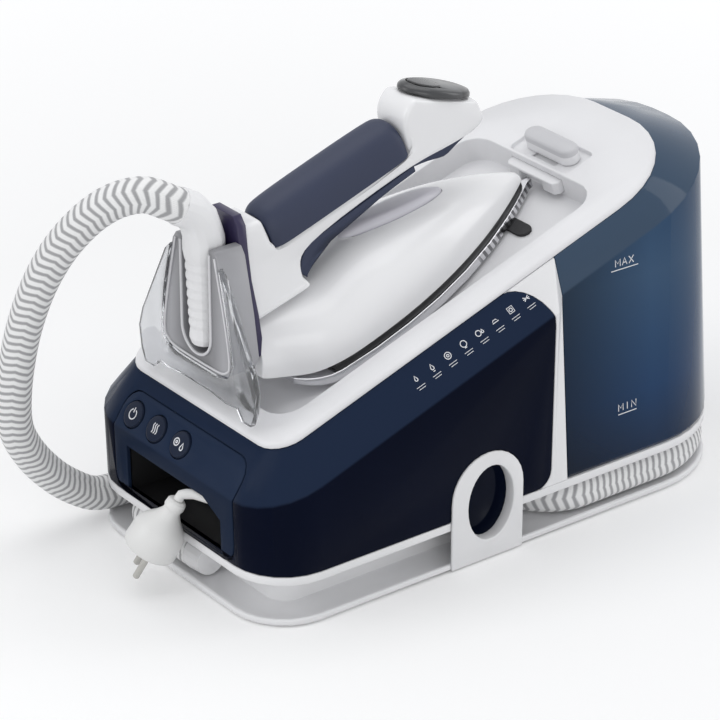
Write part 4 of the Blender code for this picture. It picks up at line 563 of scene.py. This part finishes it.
boiler_steel = metal("boiler_steel", (0.62, 0.62, 0.64), 0.28, (1, 8, 8))
cast_alloy = metal("cast_alloy", (0.52, 0.52, 0.53), 0.5, scale=300.0)
dress(boiler_steel, "boiler", "pressure_tube")
dress(cast_alloy, "boiler_cradle")
dress(metal("valve_brass", (0.68, 0.50, 0.22), 0.32), "solenoid_valve")
works_black = moulded("works_black", (0.015, 0.015, 0.017), 0.45, grain=0.12)
dress(works_black, "pump")
dress(moulded("board_green", (0.020, 0.130, 0.055), 0.45, drift=0.25), "control_board", "button_board")
dress(moulded("tube_grey", (0.38, 0.38, 0.40), 0.5), "feed_tube")

# Steam hose
# A rubber steam hose in a woven white sleeve with grey zigzag threads. It leaves the gland in the
# front groove, is wound round the base, and rises in one free arc to the boot on the iron's heel.
HOSE_RADIUS = 0.0122
HALF_WIDTH = 0.1123
PAN_TOP = 0.0048
GAP = 0.0003
LANE_INSET = 0.014
LANE_STEP = 0.026
LANE_CLEARANCE = 0.0015
LANE_HEIGHT = PAN_TOP + GAP + HOSE_RADIUS
OUTER_LANE = HALF_WIDTH - LANE_INSET
INNER_LANE = OUTER_LANE - LANE_STEP
FRONT_LANE = FRONT_X + LANE_INSET
FRONT_TURN = 0.030
REAR_RADIUS = 0.0835
OUTLET_Y = -0.0075


def lane_turn(cx, cy, radius, start, end, steps):
    """Places along a bend of the wound hose, at the height of its lane."""
    turn = []
    for i in range(steps + 1):
        a = math.radians(start + (end - start) * i / steps)
        turn.append(Vector((cx + radius * math.cos(a), cy + radius * math.sin(a), LANE_HEIGHT)))
    return turn


store_x = FRONT_X + 0.226
bight_row = -0.0185
bend_x = FRONT_X + 0.340
bend_y = (INNER_LANE + bight_row) / 2
bend_radius = (INNER_LANE - bight_row) / 2
bight_y = (bight_row - OUTER_LANE) / 2
bight_radius = (bight_row + OUTER_LANE) / 2
bight_x = store_x + bight_radius + HOSE_RADIUS + LANE_CLEARANCE
rear_x = REAR_X - REAR_RADIUS
rear_lane = REAR_RADIUS - LANE_INSET
leaves_x = FRONT_X + 0.060
wound = [Vector((FRONT_LANE, OUTLET_Y + GAP, LANE_HEIGHT)),
         Vector((FRONT_LANE, OUTLET_Y + 0.016, LANE_HEIGHT))]
wound += lane_turn(FRONT_LANE + FRONT_TURN, INNER_LANE - FRONT_TURN, FRONT_TURN, 180, 90, 8)
run = bend_x - FRONT_LANE - FRONT_TURN
wound += [Vector((FRONT_LANE + FRONT_TURN + run * k / 8, INNER_LANE, LANE_HEIGHT)) for k in range(1, 8)]
wound += lane_turn(bend_x, bend_y, bend_radius, 90, -90, 14)
wound += lane_turn(bight_x, bight_y, bight_radius, 90, 270, 14)
wound += [Vector(((bight_x + rear_x) / 2, -OUTER_LANE, LANE_HEIGHT))]
wound += lane_turn(rear_x, -HALF_WIDTH + REAR_RADIUS, rear_lane, 270, 360, 10)
wound += lane_turn(rear_x, HALF_WIDTH - REAR_RADIUS, rear_lane, 0, 90, 10)
run = rear_x - leaves_x
wound += [Vector((rear_x - run * k / 8, OUTER_LANE, LANE_HEIGHT)) for k in range(1, 9)]

ARC_PLACES = [(0.036, 0.0983, 0.0176), (0.020, 0.0986, 0.0184), (0.004, 0.0995, 0.0194),
              (-0.0093, 0.1004, 0.0252), (-0.0304, 0.0998, 0.0425), (-0.0506, 0.0976, 0.0670),
              (-0.0655, 0.0922, 0.0956), (-0.0699, 0.0846, 0.1298), (-0.0684, 0.0765, 0.1657),
              (-0.0648, 0.0684, 0.1935), (-0.0593, 0.0602, 0.2172), (-0.0514, 0.0510, 0.2388),
              (-0.0420, 0.0412, 0.2563), (-0.0316, 0.0315, 0.2698), (-0.0204, 0.0212, 0.2788),
              (-0.0081, 0.0103, 0.2822)]
HEEL = Vector((-0.171124, 0.0, 0.148269))
BOOT_OFFSET = -0.0150
boot_end = HEEL + Vector((BOOT_OFFSET - 0.0190, 0.0010, 0.1245))
boot_way = Vector((-0.0085, 0.0008, 0.0050)).normalized()
arc_start = Vector((leaves_x - GAP, OUTER_LANE, LANE_HEIGHT))
rising = [arc_start, arc_start + Vector((-0.010, 0.0, 0.0))]
rising += [Vector((FRONT_X + x, y, z)) for x, y, z in ARC_PLACES]
rising += [boot_end + boot_way * 0.008, boot_end + boot_way * GAP]


def smooth_route(knots, step):
    """A smooth curve through every knot, with points about one step apart."""
    padded = [knots[0] * 2 - knots[1]] + list(knots) + [knots[-1] * 2 - knots[-2]]
    points = []
    for a, b, c, d in zip(padded, padded[1:], padded[2:], padded[3:]):
        pieces = max(1, round((c - b).length / step))
        for k in range(pieces):
            t = k / pieces
            points.append(0.5 * (2 * b + (c - a) * t + (2 * a - 5 * b + 4 * c - d) * t * t
                                 + (3 * b - a - 3 * c + d) * t ** 3))
    return points + [knots[-1].copy()]


def skin(name, points, radius, sides, material):
    """A round skin along a route; its map runs in metres along it and once round it."""
    rows = []
    side = None
    travelled = 0.0
    for i, point in enumerate(points):
        way = (points[min(i + 1, len(points) - 1)] - points[max(i - 1, 0)]).normalized()
        if side is None:
            side = way.orthogonal().normalized()
        side = (side - way * side.dot(way)).normalized()
        other = way.cross(side)
        if i:
            travelled += (point - points[i - 1]).length
        turns = [2 * math.pi * k / sides for k in range(sides)]
        ring = [point + radius * (math.cos(a) * side + math.sin(a) * other) for a in turns]
        rows.append((travelled, ring))
    mesh = bpy.data.meshes.new(name)
    faces = []
    for r in range(len(rows) - 1):
        for k in range(sides):
            n = (k + 1) % sides
            faces.append((r * sides + k, r * sides + n, (r + 1) * sides + n, (r + 1) * sides + k))
    faces.append(tuple(reversed(range(sides))))
    faces.append(tuple(range((len(rows) - 1) * sides, len(rows) * sides)))
    mesh.from_pydata([p for travel, ring in rows for p in ring], [], faces)
    layer = mesh.uv_layers.new(name="along")
    for face in mesh.polygons:
        ring = [mesh.loops[i].vertex_index % sides for i in face.loop_indices]
        wraps = len(ring) == 4 and max(ring) == sides - 1 and min(ring) == 0
        for i, k in zip(face.loop_indices, ring):
            row = mesh.loops[i].vertex_index // sides
            layer.data[i].uv = (rows[row][0], (sides if wraps and k == 0 else k) / sides)
    mesh.shade_smooth()
    mesh.set_sharp_from_angle(angle=math.radians(40))
    mesh.materials.append(material)
    piece = bpy.data.objects.new(name, mesh)
    bpy.context.scene.collection.objects.link(piece)
    return piece


def woven_sleeve(name):
    """White thread with grey zigzag rows across the hose, a little raised."""
    mat = bpy.data.materials.new(name)
    mat.use_nodes = True
    tree = mat.node_tree
    shader = tree.nodes["Principled BSDF"]
    shader.inputs["Roughness"].default_value = 0.78
    shader.inputs["Sheen Weight"].default_value = 0.25
    along = add_node(tree, "ShaderNodeUVMap", uv_map="along")
    split = add_node(tree, "ShaderNodeSeparateXYZ")
    tree.links.new(along.outputs[0], split.inputs[0])
    zig = add_node(tree, "ShaderNodeMath", operation="PINGPONG")
    spread = add_node(tree, "ShaderNodeMath", operation="MULTIPLY")
    spread.inputs[1].default_value = 8.0
    tree.links.new(split.outputs["Y"], spread.inputs[0])
    tree.links.new(spread.outputs[0], zig.inputs[0])
    zig.inputs[1].default_value = 1.0
    rows = add_node(tree, "ShaderNodeMath", operation="MULTIPLY")
    rows.inputs[1].default_value = 1.0 / 0.0058
    tree.links.new(split.outputs["X"], rows.inputs[0])
    phase = add_node(tree, "ShaderNodeMath", operation="MULTIPLY_ADD")
    phase.inputs[1].default_value = 0.55
    tree.links.new(zig.outputs[0], phase.inputs[0])
    tree.links.new(rows.outputs[0], phase.inputs[2])
    stripe = add_node(tree, "ShaderNodeMath", operation="PINGPONG")
    stripe.inputs[1].default_value = 0.5
    tree.links.new(phase.outputs[0], stripe.inputs[0])
    ramp = add_node(tree, "ShaderNodeValToRGB")
    ramp.color_ramp.elements[0].position = 0.12
    ramp.color_ramp.elements[1].position = 0.30
    ramp.color_ramp.elements[0].color = (0.36, 0.36, 0.37, 1.0)
    ramp.color_ramp.elements[1].color = (0.86, 0.86, 0.86, 1.0)
    tree.links.new(stripe.outputs[0], ramp.inputs["Fac"])
    tree.links.new(ramp.outputs["Color"], shader.inputs["Base Color"])
    threads = add_node(tree, "ShaderNodeTexWave", wave_type="BANDS", bands_direction="Y")
    threads.inputs["Scale"].default_value = 20.0
    tree.links.new(along.outputs[0], threads.inputs["Vector"])
    height = add_node(tree, "ShaderNodeMath", operation="MULTIPLY_ADD")
    height.inputs[1].default_value = 0.3
    tree.links.new(threads.outputs["Fac"], height.inputs[0])
    tree.links.new(stripe.outputs[0], height.inputs[2])
    bump = add_node(tree, "ShaderNodeBump")
    bump.inputs["Strength"].default_value = 0.55
    bump.inputs["Distance"].default_value = 0.0008
    tree.links.new(height.outputs[0], bump.inputs["Height"])
    tree.links.new(bump.outputs["Normal"], shader.inputs["Normal"])
    return mat


dress(white_shell, "hose_outlet")
hose_sleeve = woven_sleeve("hose_sleeve")
wound_route = smooth_route(wound, 0.004)
wound_hose = skin("hose_wound", wound_route, HOSE_RADIUS, 28, hose_sleeve)
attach(wound_hose, "station")
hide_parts("steam_hose_stowed")
rising_route = smooth_route(rising, 0.004)
rising_hose = skin("hose_rising", rising_route, HOSE_RADIUS, 28, hose_sleeve)
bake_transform(rising_hose)
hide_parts("steam_hose_arc")

# Mains cord and plug
# White PVC flex, folded into a hank in the bin; its end comes out over the bin's edge to a moulded
# two-pin plug with a ribbed collar.
CORD_RADIUS = 0.0035
HANK_RADIUS = 0.0305
HANK_STRAIGHT = 0.019
HANK_PITCH = 0.0077
HANK_LAYER = 0.0076
HANK_TURNS = 7.5
HANK_FRONT = 0.0275
LOOP_POINTS = 24
SHELL_BOTTOM = 0.0385
BIN_WALL = 0.002
GLAND_WALL = 0.002
GLAND_FACE_Y = -0.0525
hank_x = FRONT_X + HANK_FRONT + CORD_RADIUS + HANK_RADIUS
hank_floor = SHELL_BOTTOM + BIN_WALL + GAP + CORD_RADIUS + GLAND_WALL


def hank_place(turn):
    """A point on the hank: oval loops that spiral in and out, two to a layer."""
    layer = int(turn // 2)
    phase = turn - 2 * layer
    offset = HANK_PITCH * (phase if layer % 2 == 0 else 2 - phase)
    nearest = round(turn / 2)
    climb = min(max((turn - 2 * nearest + 0.25) / 0.5, 0.0), 1.0)
    climb = climb * climb * (3 - 2 * climb)
    level = (nearest - 1 + climb) if nearest > 0 else 0.0
    radius = HANK_RADIUS - offset
    f = turn % 1.0
    if f < 0.18:
        x, y = radius, HANK_STRAIGHT * (f / 0.09 - 1)
    elif f < 0.5:
        a = math.pi * (f - 0.18) / 0.32
        x, y = radius * math.cos(a), HANK_STRAIGHT + radius * math.sin(a)
    elif f < 0.68:
        x, y = -radius, HANK_STRAIGHT * (1 - (f - 0.5) / 0.09)
    else:
        a = math.pi * (f - 0.68) / 0.32
        x, y = -radius * math.cos(a), -HANK_STRAIGHT - radius * math.sin(a)
    return Vector((hank_x + x, y, hank_floor + HANK_LAYER * level))


count = round(HANK_TURNS * LOOP_POINTS)
hank = [hank_place(HANK_TURNS * i / count) for i in range(count + 1)]
hank = [Vector((hank[0].x, GLAND_FACE_Y + GAP, hank[0].z))] + hank
hank.append(hank[-1] + Vector((0.0, -0.010, 0.0)))
PLUG_COLLAR = Vector((FRONT_X - 0.0070, -0.0167, 0.0678))
PLUG_AXIS = Vector((-0.40, 0.28, -0.873)).normalized()
PLUG_LENGTH = 0.0434
tail_start = hank[-1] + Vector((0.0, -GAP, 0.0))
tail_end = PLUG_COLLAR - PLUG_AXIS * GAP
tail = [tail_start, tail_start + Vector((0.0, -0.007, 0.0)),
        Vector((FRONT_X + 0.027, -0.0437, 0.0705)), Vector((FRONT_X + 0.018, -0.0472, 0.0705)),
        Vector((FRONT_X + 0.011, -0.0422, 0.0710)), Vector((FRONT_X + 0.006, -0.0322, 0.0716)),
        Vector((FRONT_X + 0.001, -0.0232, 0.0724)), tail_end - PLUG_AXIS * 0.004, tail_end]
cord_route = hank[:-1] + smooth_route([hank[-1]] + tail[1:], 0.004)
cord_curve = bpy.data.curves.new("mains_flex", "CURVE")
cord_curve.dimensions = "3D"
cord_curve.bevel_depth = CORD_RADIUS
cord_curve.bevel_resolution = 5
cord_curve.use_fill_caps = True
line = cord_curve.splines.new("POLY")
line.points.add(len(cord_route) - 1)
for target, point in zip(line.points, cord_route):
    target.co = (*point, 1.0)
flex_white = moulded("flex_white", (0.76, 0.76, 0.75), 0.48, grain=0.10, grain_scale=500.0)
cord_curve.materials.append(flex_white)
mains_flex = bpy.data.objects.new("mains_flex", cord_curve)
bpy.context.scene.collection.objects.link(mains_flex)
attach(mains_flex, "station")
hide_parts("mains_cord_hank", "mains_cord")
plug_white = moulded("plug_white", (0.76, 0.76, 0.75), 0.40, grain=0.06)
plug_face = PLUG_COLLAR + PLUG_AXIS * PLUG_LENGTH
second_tone(plug_white, past_plane(plug_white.node_tree, plug_face, PLUG_AXIS, 0.0002), (0.50, 0.49, 0.46))
plug_body = moulding("mains_plug", plug_white, 0.0004)

# Iron: sole, shield and cover
# A polished steel soleplate under the heater casting, and a black heat shield above them.
# The white cover is one gloss moulding, with an oval lilac inlay let into its top.
dress(boiler_steel, "iron_steam_pipe")
dress(cast_alloy, "heater_casting", "thermostat")
sole_steel = metal("sole_steel", (0.70, 0.70, 0.72), 0.20, (2, 2, 30), scale=40.0, drift=0.06)
shield_black = moulded("shield_black", (0.010, 0.010, 0.011), 0.38, grain=0.05)
gloss_white = moulded("gloss_white", (0.83, 0.83, 0.84), 0.22, grain=0.01, drift=0.02, coat=0.25)

# A fine dark hatch runs along the upright edge of the sole, near its tip.
HATCH_FROM = 0.245
tree = sole_steel.node_tree
place = add_node(tree, "ShaderNodeTexCoord")
teeth = add_node(tree, "ShaderNodeTexWave", wave_type="BANDS", bands_direction="DIAGONAL",
                 wave_profile="SIN")
teeth.inputs["Scale"].default_value = 62.0
tree.links.new(place.outputs["Object"], teeth.inputs["Vector"])
tooth = add_node(tree, "ShaderNodeMath", operation="GREATER_THAN")
tooth.inputs[1].default_value = 0.55
tree.links.new(teeth.outputs["Fac"], tooth.inputs[0])
facing = add_node(tree, "ShaderNodeNewGeometry")
flatness = add_node(tree, "ShaderNodeVectorMath", operation="DOT_PRODUCT")
flatness.inputs[1].default_value = DECK_OUT
tree.links.new(facing.outputs["Normal"], flatness.inputs[0])
upright = add_node(tree, "ShaderNodeMath", operation="COMPARE")
upright.inputs[2].default_value = 0.6
tree.links.new(flatness.outputs["Value"], upright.inputs[0])
upright.inputs[1].default_value = 0.0
edge_only = add_node(tree, "ShaderNodeMath", operation="MULTIPLY")
tree.links.new(tooth.outputs[0], edge_only.inputs[0])
tree.links.new(upright.outputs[0], edge_only.inputs[1])
near_tip = add_node(tree, "ShaderNodeMath", operation="MULTIPLY")
hatch_start = DECK_AT + DECK_ALONG * HATCH_FROM
tree.links.new(edge_only.outputs[0], near_tip.inputs[0])
tree.links.new(past_plane(tree, hatch_start, DECK_ALONG, 0.004), near_tip.inputs[1])
second_tone(sole_steel, near_tip.outputs[0], (0.20, 0.20, 0.21))
moulding("soleplate", sole_steel, 0.0006)
moulding("heat_shield", shield_black, 0.0005)
moulding("iron_cover", gloss_white, 0.0008, 2, 2)
inlay_lilac = moulded("inlay_lilac", (0.60, 0.59, 0.64), 0.30, grain=0.03)
moulding("top_inlay", inlay_lilac, 0.0006, 2, 1)

# Handle
# A white gloss bar with a free front head, and soft navy grips over and under it.
# A navy trigger swings on a steel pin under the head, and a dark cap with its button sits on it.
dress(boiler_steel, "trigger_pin")
dress(works_black, "microswitch")
soft_navy = moulded("soft_navy", (0.016, 0.024, 0.058), 0.55, grain=0.20, grain_scale=1400.0, drift=0.08)
moulding("handle_shell", gloss_white, 0.0012, 2, 2)
moulding("grip_top", soft_navy, 0.0010, 2, 2)
moulding("grip_under", soft_navy, 0.0008, 2, 1)
moulding("steam_trigger", soft_navy, 0.0008, 2, 1)
cap_grey = moulded("cap_grey", (0.030, 0.031, 0.034), 0.30, grain=0.02, coat=0.3)
CAP_AT = Vector((0.005401, 0.0, 0.301445))
CAP_ALONG = Vector((0.962213, 0.0, -0.272297))
WINDOW_FROM = 0.0125
cap_window = CAP_AT + CAP_ALONG * WINDOW_FROM
second_tone(cap_grey, past_plane(cap_grey.node_tree, cap_window, CAP_ALONG, 0.0003), (0.003, 0.003, 0.004))
moulding("control_cap", cap_grey, 0.0008, 3)
moulding("mode_button", moulded("button_black", (0.012, 0.012, 0.014), 0.25), 0.0005, 3)

# Heel
# Violet trim behind the cover, a grey panel with light rims round the ribbed rubber hose boot,
# and a clear heel stand. Each is a moulding of its own, fitted onto the rear of the iron.
trim_violet = moulded("trim_violet", (0.016, 0.010, 0.052), 0.32, grain=0.03)
moulding("rear_trim", trim_violet, 0.0006)
heel_grey = moulded("heel_grey", (0.36, 0.36, 0.38), 0.36)
tree = heel_grey.node_tree
place = add_node(tree, "ShaderNodeTexCoord")
split = add_node(tree, "ShaderNodeSeparateXYZ")
tree.links.new(place.outputs["Object"], split.inputs[0])
# Painted shade in the panel's hollow: the grey darkens towards the boot in its middle.
beside = add_node(tree, "ShaderNodeMath", operation="ABSOLUTE")
tree.links.new(split.outputs["Y"], beside.inputs[0])
painted_hollow_shade = add_node(tree, "ShaderNodeMapRange")
painted_hollow_shade.inputs["From Min"].default_value = 0.030
painted_hollow_shade.inputs["From Max"].default_value = 0.013
tree.links.new(beside.outputs[0], painted_hollow_shade.inputs["Value"])
second_tone(heel_grey, painted_hollow_shade.outputs["Result"], (0.17, 0.17, 0.18))
moulding("heel_panel", heel_grey, 0.0006)

RIM_PROUD = 0.0224
SLOT_HALF = 0.0168
SLOT_LOW = 0.031
rim_light = moulded("rim_light", (0.66, 0.66, 0.68), 0.28, grain=0.02)
slot_rim = [(SLOT_HALF, 0.092)] + [(SLOT_HALF, SLOT_LOW + 0.015 * k) for k in (3, 2, 1)]
slot_rim += [(SLOT_HALF * math.cos(math.radians(a)), SLOT_LOW - SLOT_HALF * math.sin(math.radians(a)))
             for a in range(0, 181, 20)]
slot_rim += [(-y, z) for y, z in reversed(slot_rim[:4])]
edge_rim = [(0.0225, 0.0915), (0.0333, 0.048), (0.0378, 0.0210), (0.0340, 0.0128), (0.0215, 0.0096)]
edge_rim += [(-y, z) for y, z in reversed(edge_rim)]
for name, outline, radius in (("boot_slot_rim", slot_rim, 0.0010), ("panel_edge_rim", edge_rim, 0.0008)):
    route = smooth_route([HEEL + Vector((-RIM_PROUD, y, z)) for y, z in outline], 0.002)
    rim = skin(name, route, radius, 10, rim_light)
    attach(rim, "iron")
boot_white = moulded("boot_white", (0.80, 0.80, 0.81), 0.42, grain=0.06)
moulding("hose_boot", boot_white, 0.0003, 2, 0, 18.0)
stand_clear = bpy.data.materials.new("stand_clear")
stand_clear.use_nodes = True
tree = stand_clear.node_tree
shader = tree.nodes["Principled BSDF"]
place = add_node(tree, "ShaderNodeTexCoord")
cloud = add_node(tree, "ShaderNodeTexNoise")
cloud.inputs["Scale"].default_value = 40.0
tree.links.new(place.outputs["Object"], cloud.inputs["Vector"])
gloss = add_node(tree, "ShaderNodeMapRange")
gloss.inputs["To Min"].default_value = 0.03
gloss.inputs["To Max"].default_value = 0.10
tree.links.new(cloud.outputs["Fac"], gloss.inputs["Value"])
tree.links.new(gloss.outputs["Result"], shader.inputs["Roughness"])
shader.inputs["Base Color"].default_value = (0.74, 0.75, 0.77, 1.0)
shader.inputs["Transmission Weight"].default_value = 0.95
shader.inputs["IOR"].default_value = 1.45
moulding("heel_stand", stand_clear, 0.0006)
